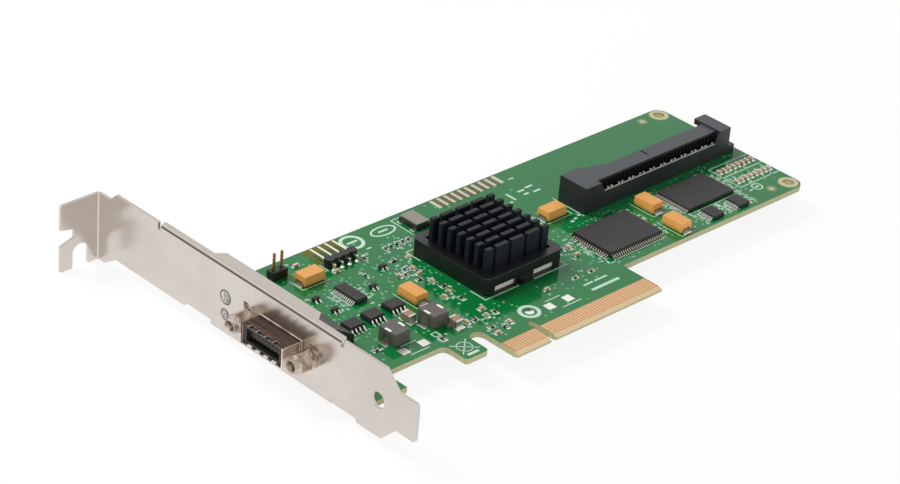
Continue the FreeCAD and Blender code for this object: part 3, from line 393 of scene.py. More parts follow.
def grain_group():
    """Fine noise in the material's own space: a share about one half and a height."""
    name = "fine_grain"
    if name in bpy.data.node_groups:
        return bpy.data.node_groups[name]
    tree, given, result = new_group(name, {"Size": 0.2, "Stretch": 1.0, "Contrast": 1.0}, ("Share", "Height"))
    place = add_node(tree, "ShaderNodeTexCoord").outputs["Object"]
    scale = maths(tree, "DIVIDE", 1 / MM, given.outputs["Size"])
    stretch = add_node(tree, "ShaderNodeCombineXYZ", {0: 1.0, 1: given.outputs["Stretch"], 2: 1.0})
    spread = add_node(tree, "ShaderNodeVectorMath", {0: place, 1: stretch.outputs[0]}, operation="MULTIPLY")
    noise = add_node(tree, "ShaderNodeTexNoise", {"Vector": spread.outputs[0], "Scale": scale, "Detail": 4.0})
    swing = maths(tree, "SUBTRACT", noise.outputs["Fac"], 0.5)
    swing = maths(tree, "MULTIPLY", swing, given.outputs["Contrast"])
    tree.links.new(maths(tree, "ADD", swing, 0.5), result.inputs["Share"])
    tree.links.new(noise.outputs["Fac"], result.inputs["Height"])
    return tree


def cloud_group():
    """Broad soft patches, for handling marks and uneven finish."""
    name = "soft_patches"
    if name in bpy.data.node_groups:
        return bpy.data.node_groups[name]
    tree, given, result = new_group(name, {"Size": 8.0, "Low": 0.35, "High": 0.65}, ("Mask",))
    place = add_node(tree, "ShaderNodeTexCoord").outputs["Object"]
    scale = maths(tree, "DIVIDE", 1 / MM, given.outputs["Size"])
    noise = add_node(tree, "ShaderNodeTexNoise", {
        "Vector": place, "Scale": scale, "Detail": 3.0, "Roughness": 0.6})
    mask = between(tree, noise.outputs["Fac"], given.outputs["Low"], given.outputs["High"])
    tree.links.new(mask, result.inputs["Mask"])
    return tree


class Finish:
    """A material under way: its node tree and its Principled shader."""

    def __init__(self, name):
        self.material = bpy.data.materials.new(name)
        self.material.use_nodes = True
        self.tree = self.material.node_tree
        self.shader = self.tree.nodes["Principled BSDF"]

    def set(self, **values):
        for label, value in values.items():
            self.shader.inputs[label].default_value = value
        return self

    def grain(self, size, contrast=1.0, stretch=1.0):
        node = add_node(self.tree, "ShaderNodeGroup", node_tree=grain_group())
        for label, value in (("Size", size), ("Contrast", contrast), ("Stretch", stretch)):
            node.inputs[label].default_value = value
        return node

    def patches(self, size, low=0.35, high=0.65):
        node = add_node(self.tree, "ShaderNodeGroup", node_tree=cloud_group())
        for label, value in (("Size", size), ("Low", low), ("High", high)):
            node.inputs[label].default_value = value
        return node.outputs["Mask"]

    def mix(self, share, one, other, blend="MIX"):
        """Mix two colours; each is a socket or a linear colour."""
        node = add_node(self.tree, "ShaderNodeMix", data_type="RGBA", blend_type=blend)
        for socket, source in ((node.inputs[0], share), (node.inputs[6], one), (node.inputs[7], other)):
            if isinstance(source, bpy.types.NodeSocket):
                self.tree.links.new(source, socket)
            elif isinstance(source, (int, float)):
                socket.default_value = source
            else:
                socket.default_value = (*source, 1)
        return node.outputs[2]

    def varied(self, grain, shade, low, high):
        """A colour that swings with the grain between two strengths of a shade."""
        return self.mix(grain.outputs["Share"], darker(shade, low), darker(shade, high))

    def facing(self):
        """The way the surface faces, by axis."""
        normal = add_node(self.tree, "ShaderNodeNewGeometry").outputs["Normal"]
        return add_node(self.tree, "ShaderNodeSeparateXYZ", {0: normal}).outputs

    def place(self):
        """The place on the piece, by axis."""
        spot = add_node(self.tree, "ShaderNodeTexCoord").outputs["Object"]
        return add_node(self.tree, "ShaderNodeSeparateXYZ", {0: spot}).outputs

    def within(self, mask, *edges):
        """Keep a mask where the place passes each test of an axis against millimetres."""
        place = self.place()
        for test, axis, edge in edges:
            mask = maths(self.tree, "MULTIPLY", mask, maths(self.tree, test, place[axis], edge * MM))
        return mask

    def feed(self, label, socket):
        self.tree.links.new(socket, self.shader.inputs[label])
        return self

    def bump(self, height, depth):
        node = add_node(self.tree, "ShaderNodeBump", {
            "Height": height, "Distance": depth * MM, "Strength": 1.0})
        return self.feed("Normal", node.outputs[0])

    def worn(self, grain, smooth, rough, depth):
        """Gloss and relief that follow the grain."""
        self.feed("Roughness", ranged(self.tree, grain.outputs["Share"], smooth, rough))
        return self.bump(grain.outputs["Height"], depth)


def darker(shade, factor):
    return tuple(v * factor for v in shade)


def made(name, maker):
    """A finish by name, made the first time it is asked for."""
    label = f"finish_{name}"
    return bpy.data.materials.get(label) or maker(label).material


# Finishes of one colour: the arguments of simple, with the name of the colour as shade
FINISHES = {
    "bright_tin": dict(shade="tin", rough=0.3, metal=1.0, size=0.35, depth=0.02, swing=0.1),
    "fine_lead_tin": dict(shade="fine", rough=0.32, metal=1.0, size=0.3, depth=0.01, swing=0.15),
    # painted shade: tin darkened for terminals that lie in shade
    "dull_tin": dict(shade="dull", rough=0.4, metal=1.0, size=0.35, depth=0.02, swing=0.12),
    "spring_tin": dict(shade="solder", rough=0.35, metal=1.0, size=0.3, depth=0.01, swing=0.1),
    "solder": dict(shade="solder", rough=0.22, metal=1.0, size=0.5, depth=0.04, swing=0.06),
    "gold_plate": dict(shade="gold", rough=0.26, metal=1.0, size=0.3, depth=0.003, swing=0.04, stretch=0.15),
    # painted shade: the plating's faces that don't look up, such as the barrels of the corner holes, at 0.8
    # of its colour
    "hole_plating": dict(shade="ring", rough=0.3, metal=1.0, size=0.4, depth=0.006, swing=0.08, side=0.8),
    "lane_plate": dict(shade="lane", rough=0.3, metal=1.0, size=0.3, depth=0.004, swing=0.1),
    "pin_plate": dict(shade="pin", rough=0.3, metal=1.0, size=0.3, depth=0.004, swing=0.1),
    "aged_pin_plate": dict(shade="aged", rough=0.32, metal=1.0, size=0.3, depth=0.004, swing=0.2),
    "lid_metal": dict(shade="lid", rough=0.3, metal=1.0, size=0.3, depth=0.006, swing=0.06),
    "via_ring": dict(shade="via", rough=0.3, size=0.3, depth=0.004, swing=0.1),
    "white_print": dict(shade="ink", rough=0.6, size=0.12, swing=0.08),
    "black_plastic": dict(shade="black", rough=0.42, size=0.12, swing=0.25),
    "insulator_plastic": dict(shade="insulator", rough=0.42, size=0.12, swing=0.25),
    # painted shade: near black for the ribs in the connector's slot
    "deep_black_plastic": dict(shade="deep", rough=0.6, size=0.12, swing=0.25, index=1.2),
    # painted shade: the connector's faces that don't look up at 0.4 of its colour
    "connector_plastic": dict(shade="grey", rough=0.45, size=0.15, depth=0.012, swing=0.2, side=0.4),
    # painted highlight for the top of the connector's front wall
    "worn_rim_plastic": dict(shade="rim", rough=0.4, size=0.2, depth=0.006, swing=0.25),
    "frame_plastic": dict(shade="frame", rough=0.34, size=0.3, depth=0.008, swing=0.2),
    "chip_moulding": dict(shade="mould", rough=0.55, size=0.06, depth=0.012, swing=0.35),
    "moulded_dot": dict(shade="dot", rough=0.4, size=0.1, depth=0.004, swing=0.18),
    # painted light: the tantalum cases' faces that don't look up at 1.28 times their colour
    "tantalum_case": dict(shade="tantalum", rough=0.45, size=0.2, depth=0.012, swing=0.06, side=1.28),
    "brown_ceramic": dict(shade="brown", rough=0.4, size=0.2, depth=0.008, swing=0.1),
    "tan_ceramic": dict(shade="tan", rough=0.4, size=0.2, depth=0.008, swing=0.1),
    "black_ceramic": dict(shade="dark", rough=0.35, size=0.15, depth=0.006, swing=0.2),
    "pressed_ferrite": dict(shade="ferrite", rough=0.5, size=0.12, depth=0.02, swing=0.2),
    "substrate": dict(shade="substrate", rough=0.5, size=0.2, swing=0.08),
    "thermal_pad": dict(shade="pad", rough=0.7, size=0.15, depth=0.02, swing=0.18),
    # painted light: the heatsink's faces that don't look up at 2.2 times its colour
    "black_anodised": dict(shade="anodised", rough=0.38, size=0.2, swing=0.25, side=2.2, index=1.32),
}


def simple(name, shade, rough, size, swing, metal=0.0, depth=0.01, stretch=1.0, side=1.0, index=1.5):
    """A colour that varies softly by its swing, with a fine grain in its gloss and relief.

    The grain's size and depth are in millimetres. Faces that don't look up are side times as bright: painted
    shade where side is below 1 and painted light where it is above 1.
    """
    shade = getattr(colours(), shade)
    finish = Finish(name).set(Metallic=metal, IOR=index)
    grain = finish.grain(size, 1.2, stretch)
    tint = finish.varied(grain, shade, 1 - swing, 1 + swing)
    tint = finish.mix(finish.patches(6.0), tint, darker(shade, 1 - swing / 2))
    # painted light and shade: faces that don't look up take side times the colour, for how the light falls on
    # them
    aside = finish.mix(1.0, tint, (side, side, side), "MULTIPLY")
    raised = maths(finish.tree, "GREATER_THAN", finish.facing()["Z"], 0.7)
    finish.feed("Base Color", finish.mix(raised, aside, tint))
    return finish.worn(grain, rough * 0.8, rough * 1.2, depth)


def plain(name):
    """One of the finishes of one colour, by name."""
    return made(name, lambda label: simple(label, **FINISHES[name]))


MASK_INDEX = 1.43  # refractive index of the solder mask


def coat(finish, shade):
    """The uneven colour of a solder mask."""
    tint = finish.varied(finish.grain(0.5, 0.8), shade, 0.9, 1.1)
    return finish.mix(finish.patches(14.0), tint, darker(shade, 0.92))


def lacquer(name, shade, index=MASK_INDEX):
    """Glossy solder mask over something that tints it."""

    def maker(name):
        finish = Finish(name).set(IOR=index)
        finish.feed("Base Color", coat(finish, shade))
        finish.feed("Roughness", ranged(finish.tree, finish.patches(5.0), 0.08, 0.13))
        return finish.bump(finish.grain(1.6).outputs["Height"], 0.005)

    return made(name, maker)


# Board
TAB_TOP = 6.2  # upper end of the bare tab, above the origin
LEAD_IN_TOP = 1.32  # upper end of the bevel along the tab
HOOK_TO = -13.0  # the hook and the foot lie before this X
FAR_ROW = 60.0  # the lands above this Y are those of the far row
FILM, FILM_INDEX = 0.012, 1.25  # height and refractive index of a bare patch
UNDER = span("circuit_board")[0].z  # solder side


def board_finish():
    """Green mask on both faces, bare laminate on the edges and on the tab."""

    def maker(name):
        finish = Finish(name).set(IOR=MASK_INDEX)
        tree, shades = finish.tree, colours()
        bare = finish.varied(finish.grain(0.12, 1.4, 0.2), shades.laminate, 0.8, 1.08)
        normal, place = finish.facing(), finish.place()
        flat = maths(tree, "GREATER_THAN", maths(tree, "ABSOLUTE", normal["Z"]), 0.6)
        above = maths(tree, "GREATER_THAN", place["Y"], TAB_TOP * MM)
        above = maths(tree, "MAXIMUM", above, maths(tree, "LESS_THAN", place["X"], HOOK_TO * MM))
        masked = maths(tree, "MULTIPLY", flat, above)
        bare = finish.mix(maths(tree, "SUBTRACT", flat, masked), bare, shades.tab)
        bare = finish.mix(finish.within(flat, ("LESS_THAN", "Y", LEAD_IN_TOP)), bare, shades.lead_in)
        finish.feed("Base Color", finish.mix(masked, bare, coat(finish, shades.mask)))
        finish.feed("Roughness", ranged(tree, masked, 0.5, 0.1))
        return finish.bump(finish.grain(1.6).outputs["Height"], 0.005)

    return made("solder_mask_board", maker)


HOLES, BORE = ((109.8, 17.3), (109.8, 65.8)), 1.56  # the corner holes' middles and plated radius
TARGETS = ((103.0, 65.9), (103.2, 17.7))  # middles of the round aiming marks


class CARD_OT_board(bpy.types.Operator):
    """Finish the circuit board, plate its holes and lay its targets, olive strip and ribs"""

    bl_idname = "card.board"
    bl_label = "Circuit board"

    def execute(self, context):
        shades, plate = colours(), sizes().plate / MM
        dress("circuit_board", board_finish())
        dress("edge_contacts", plain("gold_plate"))
        dress("bare_lands", made("land_tin", self.land_tin), 0.02)
        ring = plain("hole_plating")
        bm = bmesh.new()
        for x, y in HOLES:
            outer = sizes().ring / MM
            loop(bm, [
                circle(x, y, plate, BORE), circle(x, y, plate, outer - 0.1), circle(x, y, 0.0, outer),
                circle(x, y, -0.01, BORE + 0.02), circle(x, y, UNDER + 0.01, BORE + 0.02),
                circle(x, y, UNDER, outer), circle(x, y, UNDER - plate, outer - 0.1),
                circle(x, y, UNDER - plate, BORE)])
        piece("hole_rings", bm, ring)
        bm = bmesh.new()
        for x, y in TARGETS:
            disc(bm, x, y, 0, plate, 0.8, 28, 0.76)
            disc(bm, x, y, UNDER - plate, UNDER, 0.76, 28, 0.8)
        piece("target_discs", bm, ring)
        bm = bmesh.new()
        for x, y in TARGETS:
            disc(bm, x, y, 0, FILM, 1.55, 32)
            disc(bm, x, y, UNDER - FILM, UNDER, 1.55, 32)
        piece("target_clearings", bm, lacquer("bare_clearing", shades.clearing, FILM_INDEX))
        bm = bmesh.new()
        # an olive patch over the board under the angled header's pins
        slab(bm, (-23.4, 60.4, 0), (-12.9, 68.85, FILM))
        piece("clear_strip", bm, lacquer("clear_lacquer", shades.clear, FILM_INDEX))
        bm = bmesh.new()
        row = [box_of(points) for points in islands("bare_lands")]
        row = sorted((box for box in row if box[0].y > FAR_ROW), key=lambda box: box[0].x)
        for (low, high), (after, _) in zip(row, row[1:]):
            margin = 0.2 * (high.x - low.x)
            slab(bm, (high.x - margin, low.y, 0), (after.x + margin * 0.4, high.y, high.z + 0.008))
        piece("land_ribs", bm, lacquer("bare_ground", shades.khaki, FILM_INDEX))
        return {"FINISHED"}

    def land_tin(self, name):
        """Tinned lands, darker along the far row."""
        finish = Finish(name).set(Metallic=0.9)
        grain = finish.grain(0.6)
        far = maths(finish.tree, "GREATER_THAN", finish.place()["Y"], FAR_ROW * MM)
        shade = finish.mix(far, colours().land, colours().far_land)
        share = ranged(finish.tree, grain.outputs["Share"], 0.0, 0.16)
        finish.feed("Base Color", finish.mix(share, shade, (0, 0, 0)))
        return finish.worn(grain, 0.3, 0.42, 0.01)


# Tracks, solder and print
CHIPS = ("buffer_chip", "power_switch_1", "power_switch_2", "power_switch_3", "small_transistors",
         "support_processor", "memory_chip", "logic_chip_1", "logic_chip_2")
LEADS = ("buffer_leads", "power_switch_leads", "small_transistor_leads", "support_processor_leads",
         "memory_leads", "logic_chip_leads")
SMALL_CHIPS = ("chip_capacitors", "chip_resistors")


def gap_between(box, point):
    """Distance on the board from a point to a box."""
    low, high = box
    aside = max(low.x - point.x, 0, point.x - high.x)
    along = max(low.y - point.y, 0, point.y - high.y)
    return math.hypot(aside, along)


def lead_ends():
    """For every chip lead: the outer end of its foot, the way it points and its width."""
    cases = [box_of(points) for node in CHIPS for points in islands(node)]
    ends = []
    for node in LEADS:
        for points in islands(node):
            low, high = box_of(points)
            middle = (low + high) / 2
            case = min(cases, key=lambda box: gap_between(box, middle))
            if middle.x > case[1].x or middle.x < case[0].x:
                way = Vector((math.copysign(1, middle.x - case[0].x - 0.1), 0))
                ends.append((Vector((high.x if way.x > 0 else low.x, middle.y)), way, high.y - low.y))
            else:
                way = Vector((0, math.copysign(1, middle.y - case[0].y - 0.1)))
                ends.append((Vector((middle.x, high.y if way.y > 0 else low.y)), way, high.x - low.x))
    return ends


def footprints():
    """The boxes of everything that stands on the component face."""
    found = []
    for node in frame["nodes"]:
        if node not in ("circuit_board", "bracket", "edge_contacts"):
            boxes = [box_of(points) for points in islands(node)]
            found += [box for box in boxes if box[0].z < 3.0]
    return found


def open_board(point, boxes, room):
    """Whether a point lies on the board with room round it."""
    x, y = point.x, point.y
    upper = -53.4 < x < 111.8 and 15.2 < y < 67.6
    tab = -11.2 < x < 38.0 and 7.4 < y < 16
    near_hole = any(math.hypot(x - a, y - b) < 3.6 for a, b in (*HOLES, *TARGETS))
    return (upper or tab) and not near_hole and all(gap_between(box, point) > room for box in boxes)


# Parallel tracks on the component face: corner points of the first, step to the next, how many
BUNDLES = (
    (((100.5, 38.4), (100.5, 37.9), (29.5, 37.9), (28.0, 36.4)), (-2.8, -0.36), 8),
    (((38.2, 31.6), (35.6, 31.6), (32.4, 34.2), (28.0, 34.2)), (0.0, -0.8), 14),
    (((60.8, 31.4), (63.0, 31.4), (64.6, 33.0), (73.5, 33.0)), (0.0, -0.8), 12),
    (((2.6, 22.4), (2.6, 15.6), (4.4, 13.8), (4.4, 6.6)), (1.9, 0.0), 13),
    (((-1.0, 46.0), (-9.0, 46.0), (-14.0, 41.0), (-39.0, 41.0)), (0.0, -0.72), 9),
    (((12.0, 53.2), (12.0, 55.4), (16.0, 58.6), (40.0, 58.6)), (0.0, 0.8), 5),
    (((49.0, 34.0), (49.0, 36.0), (44.0, 41.0), (44.0, 60.0)), (0.8, 0.0), 6),
    (((94.0, 33.6), (96.0, 33.6), (97.0, 32.8), (111.0, 32.8)), (0.0, -0.9), 9),
    (((-44.0, 52.0), (-40.0, 56.0), (-40.0, 66.0), (-4.0, 66.0)), (0.7, -0.7), 4),
)
UNDER_BUNDLES = (  # the same on the solder side
    (((98.0, 46.0), (98.0, 36.0), (92.0, 30.0), (28.0, 30.0)), (-3.0, -0.5), 10),
    (((2.0, 36.0), (2.0, 16.0), (3.6, 14.4), (3.6, 6.6)), (1.6, 0.0), 15),
    (((0.0, 44.0), (-12.0, 44.0), (-18.0, 38.0), (-40.0, 38.0)), (0.0, -0.7), 10),
    (((20.0, 52.0), (20.0, 60.0), (26.0, 66.0), (96.0, 66.0)), (0.6, -0.6), 6),
    (((44.0, 20.0), (52.0, 20.0), (58.0, 26.0), (88.0, 26.0)), (0.0, 0.8), 8),
)
LEADS_WITH_VIA = 0.55  # share of the leads that run to a via
NEAR_VIAS, NEAR_SPREAD = 760, 3.0  # tries beside small parts, and how far from them they spread
LOOSE_VIAS, EMPTY_X, EMPTY_Y = 240, 40, 49  # tries all over, except beyond both of these


class CARD_OT_tracks(bpy.types.Operator):
    """Lay the copper tracks and the vias on both faces"""

    bl_idname = "card.tracks"
    bl_label = "Tracks and vias"

    def execute(self, context):
        rng = random.Random(sizes().seed)
        boxes, ends = footprints(), lead_ends()
        toe, wide, high = sizes().toe / MM, sizes().track / MM, sizes().plate / MM * 0.6
        lines, spots = [], []
        for end, way, _ in ends:
            start = end + way * toe
            bend = start + way * rng.uniform(0.4, 1.7)
            side = Vector((-way.y, way.x)) * rng.choice((-1, 1))
            stop = bend + (way + side) * rng.uniform(0.3, 1.0)
            if rng.random() < LEADS_WITH_VIA and self.fits(stop, boxes, spots):
                lines.append((start, bend, stop))
                spots.append(stop)
        for box in rng.choices([box for box in boxes if is_small(box)], k=NEAR_VIAS):
            near = ((box[0] + box[1]) / 2).xy
            spot = Vector((near.x + rng.gauss(0, NEAR_SPREAD), near.y + rng.gauss(0, NEAR_SPREAD)))
            if self.fits(spot, boxes, spots):
                spots.append(spot)
                if (near - spot).length < 3.4:
                    turn = (spot.x, near.y) if rng.random() < 0.5 else (near.x, spot.y)
                    lines.append((spot, Vector(turn), near))
        for _ in range(LOOSE_VIAS):
            spot = Vector((rng.uniform(-50, 96), rng.uniform(16, 60)))
            empty = spot.x > EMPTY_X and spot.y > EMPTY_Y
            if not empty and self.fits(spot, boxes, spots):
                spots.append(spot)
        bm = bmesh.new()
        for points in lines:
            if min((a - b).length for a, b in zip(points, points[1:])) > 0.05:
                ribbon(bm, points, wide, 0, high)
        self.bundles(bm, BUNDLES, wide, 0, high)
        piece("tracks_component_side", bm, lacquer("lacquer_over_copper", colours().track))
        bm = bmesh.new()
        self.bundles(bm, UNDER_BUNDLES, wide, UNDER - high, UNDER)
        piece("tracks_solder_side", bm, lacquer("lacquer_over_copper", colours().track))
        bm = bmesh.new()
        for spot in spots:
            for low, up in ((0, high * 1.4), (UNDER - high * 1.4, UNDER)):
                washer(bm, spot.x, spot.y, low, up, 0.13, sizes().via / MM * rng.uniform(0.8, 1.1), 12)
        piece("via_rings", bm, plain("via_ring"))
        return {"FINISHED"}

    def fits(self, spot, boxes, spots):
        return open_board(spot, boxes, 0.45) and all((spot - other).length > 0.8 for other in spots)

    def bundles(self, bm, bundles, wide, low, high):
        for points, step, count in bundles:
            for k in range(count):
                line = [Vector((x + step[0] * k, y + step[1] * k)) for x, y in points]
                ribbon(bm, line, wide, low, high)


class CARD_OT_solder(bpy.types.Operator):
    """Lay pads and solder under leads, chip parts, capacitors and pins"""

    bl_idname = "card.solder"
    bl_label = "Pads and solder"

    def execute(self, context):
        toe = sizes().toe / MM
        bm = bmesh.new()
        for end, way, wide in lead_ends():
            across = Vector((-way.y, way.x)) * (wide / 2 + 0.06)
            self.mound(bm, end - way * 0.5 - across, end + way * toe + across, 0.09, 0.05)
        for node in (*SMALL_CHIPS, "bulk_capacitor_caps", "tantalum_terminals", "inductor_terminals"):
            for points in islands(node):
                low, high = box = box_of(points)
                axis = long_axis(low, high)
                if node in SMALL_CHIPS:
                    self.pad(bm, box, axis, (low[axis] - 0.42, low[axis] + 0.3), 0.1, 0.24, 0.14)
                    self.pad(bm, box, axis, (high[axis] - 0.3, high[axis] + 0.42), 0.1, 0.24, 0.14)
                else:
                    axis = 1 - axis
                    self.pad(bm, box, axis, (low[axis] - 0.7, high[axis] + 0.7), 0.15, 0.16, 0.1)
        low, high = span("oscillator_base")
        for x in (low.x - 0.1, high.x + 0.1):
            for y in (low.y + 1.0, high.y - 1.0):
                self.mound(bm, Vector((x - 0.8, y - 0.8)), Vector((x + 0.8, y + 0.8)), 0.14, 0.1)
        piece("pads_and_solder", bm, plain("solder"), 0.02)
        bm = bmesh.new()
        for node in ("jumper_pins", "angle_pins"):
            for points in islands(node):
                tail = [p for p in points if p.z < UNDER]
                x, y = (sum(p[k] for p in tail) / len(tail) for k in range(2))
                self.cone(bm, x, y, 0.0, 1)
                self.cone(bm, x, y, UNDER, -1)
        piece("pin_solder", bm, plain("solder"))
        return {"FINISHED"}

    def pad(self, bm, box, axis, ends, aside, high, inset):
        """A mound between two ends on one axis, and past a box by aside on the other."""
        one, two = box[0].xy.copy(), box[1].xy.copy()
        one[axis], two[axis] = ends
        one[1 - axis], two[1 - axis] = one[1 - axis] - aside, two[1 - axis] + aside
        self.mound(bm, one, two, high, inset)

    def mound(self, bm, one, two, high, inset):
        low = (min(one.x, two.x), min(one.y, two.y))
        up = (max(one.x, two.x), max(one.y, two.y))
        slab(bm, (*low, 0), (*up, high), min(inset, (up[0] - low[0]) / 3, (up[1] - low[1]) / 3))

    def cone(self, bm, x, y, z, way):
        """A ring of solder that climbs a pin."""
        foot, top = (0.95, 0.75) if way < 0 else (0.78, 0.5)
        rings = ((0.42, 0.0), (foot, 0.0), (foot - 0.05, 0.06), (0.62, 0.16), (0.5, 0.4), (0.42, top))
        loop(bm, [circle(x, y, z + way * rise, radius, 20) for radius, rise in rings])


# Printed lines on the component face
LINES = (
    ((-1.3, 28.6), (-1.3, 23.1), (10.6, 23.1)), ((16.2, 23.1), (28.1, 23.1), (28.1, 28.6)),
    ((28.1, 47.2), (28.1, 52.6), (16.2, 52.6)), ((10.6, 52.6), (-1.3, 52.6), (-1.3, 47.2)),
    ((-33.6, 20.0), (-28.4, 20.0)), ((-34.0, 15.7), (-27.8, 15.7)),
    ((10.2, 13.4), (15.6, 13.4)), ((12.2, 8.8), (18.8, 8.8)),
    ((112.8, 35.2), (96.8, 35.2), (96.8, 29.6), (112.8, 29.6)), ((96.8, 29.2), (96.8, 23.2), (112.8, 23.2)),
    ((75.2, 21.6), (94.6, 21.6)), ((84.3, 21.4), (84.3, 15.6)), ((94.4, 21.4), (94.4, 15.6)),
    ((6.6, 58.0), (6.6, 66.9), (15.2, 66.9)), ((-23.6, 61.2), (-23.6, 57.5)), ((-12.8, 61.2), (-12.8, 57.5)),
    ((-39.2, 61.4), (-39.2, 64.8), (-33.2, 64.8)), ((37.9, 16.6), (37.9, 18.6)), ((37.9, 16.6), (39.9, 16.6)),
    ((61.1, 34.0), (59.1, 34.0)), ((61.1, 34.0), (61.1, 32.0)), ((50.2, 50.0), (50.2, 38.0)),
    ((-23.6, 17.9), (-21.8, 17.9), (-21.8, 19.7), (-23.6, 19.7), (-23.6, 17.9)),
    ((-23.8, 15.2), (-22.0, 15.2), (-22.0, 17.0), (-23.8, 17.0), (-23.8, 15.2)),
    ((38.0, 46.4), (38.0, 40.6)), ((48.5, 46.4), (48.5, 40.6)),
    ((-23.8, 12.9), (-18.0, 8.0)), ((-18.2, 13.0), (-23.6, 8.1)),
)
# Printed rings: middle, inner and outer radius
RINGS = ((-9.2, 64.7, 2.5, 3.5), (3.7, 12.45, 2.0, 3.05), (-20.9, 10.5, 1.95, 2.2), (100.9, 20.9, 1.3, 1.7))
# Printed bars: corner, length along X and along Y
BARS = (
    (-10.9, 64.35, 3.5, 0.75), (-0.2, 64.0, 3.2, 0.7), (-22.9, 6.8, 3.8, 0.9), (24.2, 9.7, 10.0, 0.95),
    (24.0, 12.7, 3.4, 0.6), (28.0, 12.7, 4.6, 0.6), (45.0, 57.6, 2.4, 0.7), (48.2, 58.1, 2.8, 0.7),
    (45.4, 55.6, 1.8, 0.7), (48.6, 55.2, 2.6, 0.7), (41.2, 55.2, 0.7, 3.8), (37.6, 54.6, 2.6, 0.6),
    (45.0, 37.6, 1.2, 0.7), (46.8, 38.2, 1.2, 0.7), (49.0, 38.9, 1.4, 0.7), (100.2, 20.6, 1.4, 0.6),
    (97.2, 20.2, 1.4, 0.5), (47.8, 64.2, 1.8, 0.45), (-11.8, 57.8, 2.2, 0.6), (-8.4, 59.6, 1.6, 0.5),
)


class CARD_OT_print(bpy.types.Operator):
    """Print outlines, rings and strokes on the component face"""

    bl_idname = "card.print"
    bl_label = "Print"

    def execute(self, context):
        rng = random.Random(sizes().seed + 5)
        high, wide = sizes().print_high / MM, sizes().line / MM
        boxes = footprints()
        bm = bmesh.new()
        for points in LINES:
            ribbon(bm, points, wide, 0, high)
        for x, y, inner, outer in RINGS:
            washer(bm, x, y, 0, high, inner, outer, 48)
        oval = [[(1.4 + a * c, 64.3 + b * s, z) for c, s in turns(48)]
                for a, b, z in ((3.6, 1.7, 0), (4.2, 2.25, 0), (4.2, 2.25, high), (3.6, 1.7, high))]
        loop(bm, oval)
        for k in range(1, 6):
            low, up = span(f"tantalum_capacitor_{k}")
            axis = long_axis(low, up)
            one, two = low.xy - Vector((0.55, 0.55)), up.xy + Vector((0.55, 0.55))
            one[axis], two[axis] = one[axis] - 0.5, two[axis] + 0.5
            ribbon(bm, (one, (two.x, one.y)), 0.2, 0, high)
            ribbon(bm, (one, (one.x, two.y)), 0.2, 0, high)
        for x, y, long_x, long_y in BARS:
            slab(bm, (x, y, 0), (x + long_x, y + long_y, high))
        for box in boxes:
            if is_small(box) and 0.4 < box[1].z < 1.2:
                self.strokes(bm, rng, box, boxes, high)
                self.outline(bm, rng, box, high)
        piece("white_print", bm, plain("white_print"))
        bm = bmesh.new()
        disc(bm, 3.7, 12.45, 0, high, 1.3, 32, 1.22)
        piece("test_pad", bm, plain("solder"))
        return {"FINISHED"}

    def outline(self, bm, rng, box, high):
        """Short lines along the two long sides of a small part."""
        low, up = box
        axis = long_axis(low, up)
        for side in (low[1 - axis] - 0.34, up[1 - axis] + 0.34):
            if rng.random() < 0.6:
                one, two = Vector((side, side)), Vector((side, side))
                one[axis], two[axis] = low[axis] - 0.5, up[axis] + 0.5
                ribbon(bm, (one, two), 0.16, 0, high)

    def strokes(self, bm, rng, box, boxes, high):
        """A few plain strokes beside a small part, where there is room."""
        low, up = box
        middle = (low + up) / 2
        for _ in range(10):
            spot = Vector((middle.x + rng.uniform(-2.4, 2.4), middle.y + rng.uniform(-2.4, 2.4)))
            if open_board(spot, boxes, 0.56):
                along = rng.random() < 0.6
                axis, half = (0, Vector((0.12, 0.34))) if along else (1, Vector((0.34, 0.12)))
                for k in range(rng.randint(2, 3)):
                    place = spot.copy()
                    place[axis] += 0.42 * k - 0.4
                    slab(bm, (*(place - half), 0), (*(place + half), high))
                return


# Bracket and port, millimetres
FOLD = (("LESS_THAN", "Y", 82.0), ("GREATER_THAN", "Y", 14.4), ("GREATER_THAN", "Z", 12.6),
        ("LESS_THAN", "X", -57.6))  # where the bend to the upper flange runs
OUTER_FACE = -59.06  # outer face of the bracket's panel
MOUTH = (("LESS_THAN", "X", -62.0), ("GREATER_THAN", "Y", 28.75))  # the port's dark front edge


class CARD_OT_bracket(bpy.types.Operator):
    """Finish the folded bracket"""

    bl_idname = "card.bracket"
    bl_label = "Bracket"

    def execute(self, context):
        def steel(name):
            finish = Finish(name).set(Metallic=1.0)
            tree, shades = finish.tree, colours()
            brush = finish.grain(0.9, 1.0, 0.06)
            tint = finish.varied(brush, shades.steel, 0.99, 1.04)
            tint = finish.mix(finish.patches(22.0), tint, darker(shades.steel, 0.93))
            speck = finish.patches(1.6, 0.62, 0.75)
            tint = finish.mix(maths(tree, "MULTIPLY", speck, 0.08), tint, darker(shades.steel, 0.75))
            normal = finish.facing()
            # painted shade: faces that look up, such as the upper flange, take the darker upper colour
            raised = maths(tree, "GREATER_THAN", normal["Z"], 0.8)
            tint = finish.mix(raised, tint, shades.upper)
            # painted shade: a dark line where the sheet bends to the upper flange
            off = maths(tree, "ABSOLUTE", maths(tree, "SUBTRACT", normal["Z"], 0.4))
            fold = maths(tree, "SUBTRACT", 1.2, maths(tree, "DIVIDE", off, 0.26))
            fold = maths(tree, "MINIMUM", maths(tree, "MAXIMUM", fold, 0.0), 1.0)
            fold = finish.within(fold, *FOLD)
            finish.feed("Base Color", finish.mix(fold, tint, shades.fold))
            return finish.worn(brush, 0.2, 0.26, 0.0005)

        dress("bracket", made("satin_steel", steel), sizes().edge / MM)
        return {"FINISHED"}


def socket_metal(name):
    """Turned metal with dark and bright bands along the post."""
    finish = Finish(name).set(Metallic=0.85)
    band = finish.grain(2.2, 3.2, 1.0)
    finish.feed("Base Color", finish.varied(band, colours().socket, 0.5, 1.35))
    return finish.worn(band, 0.1, 0.2, 0.004)


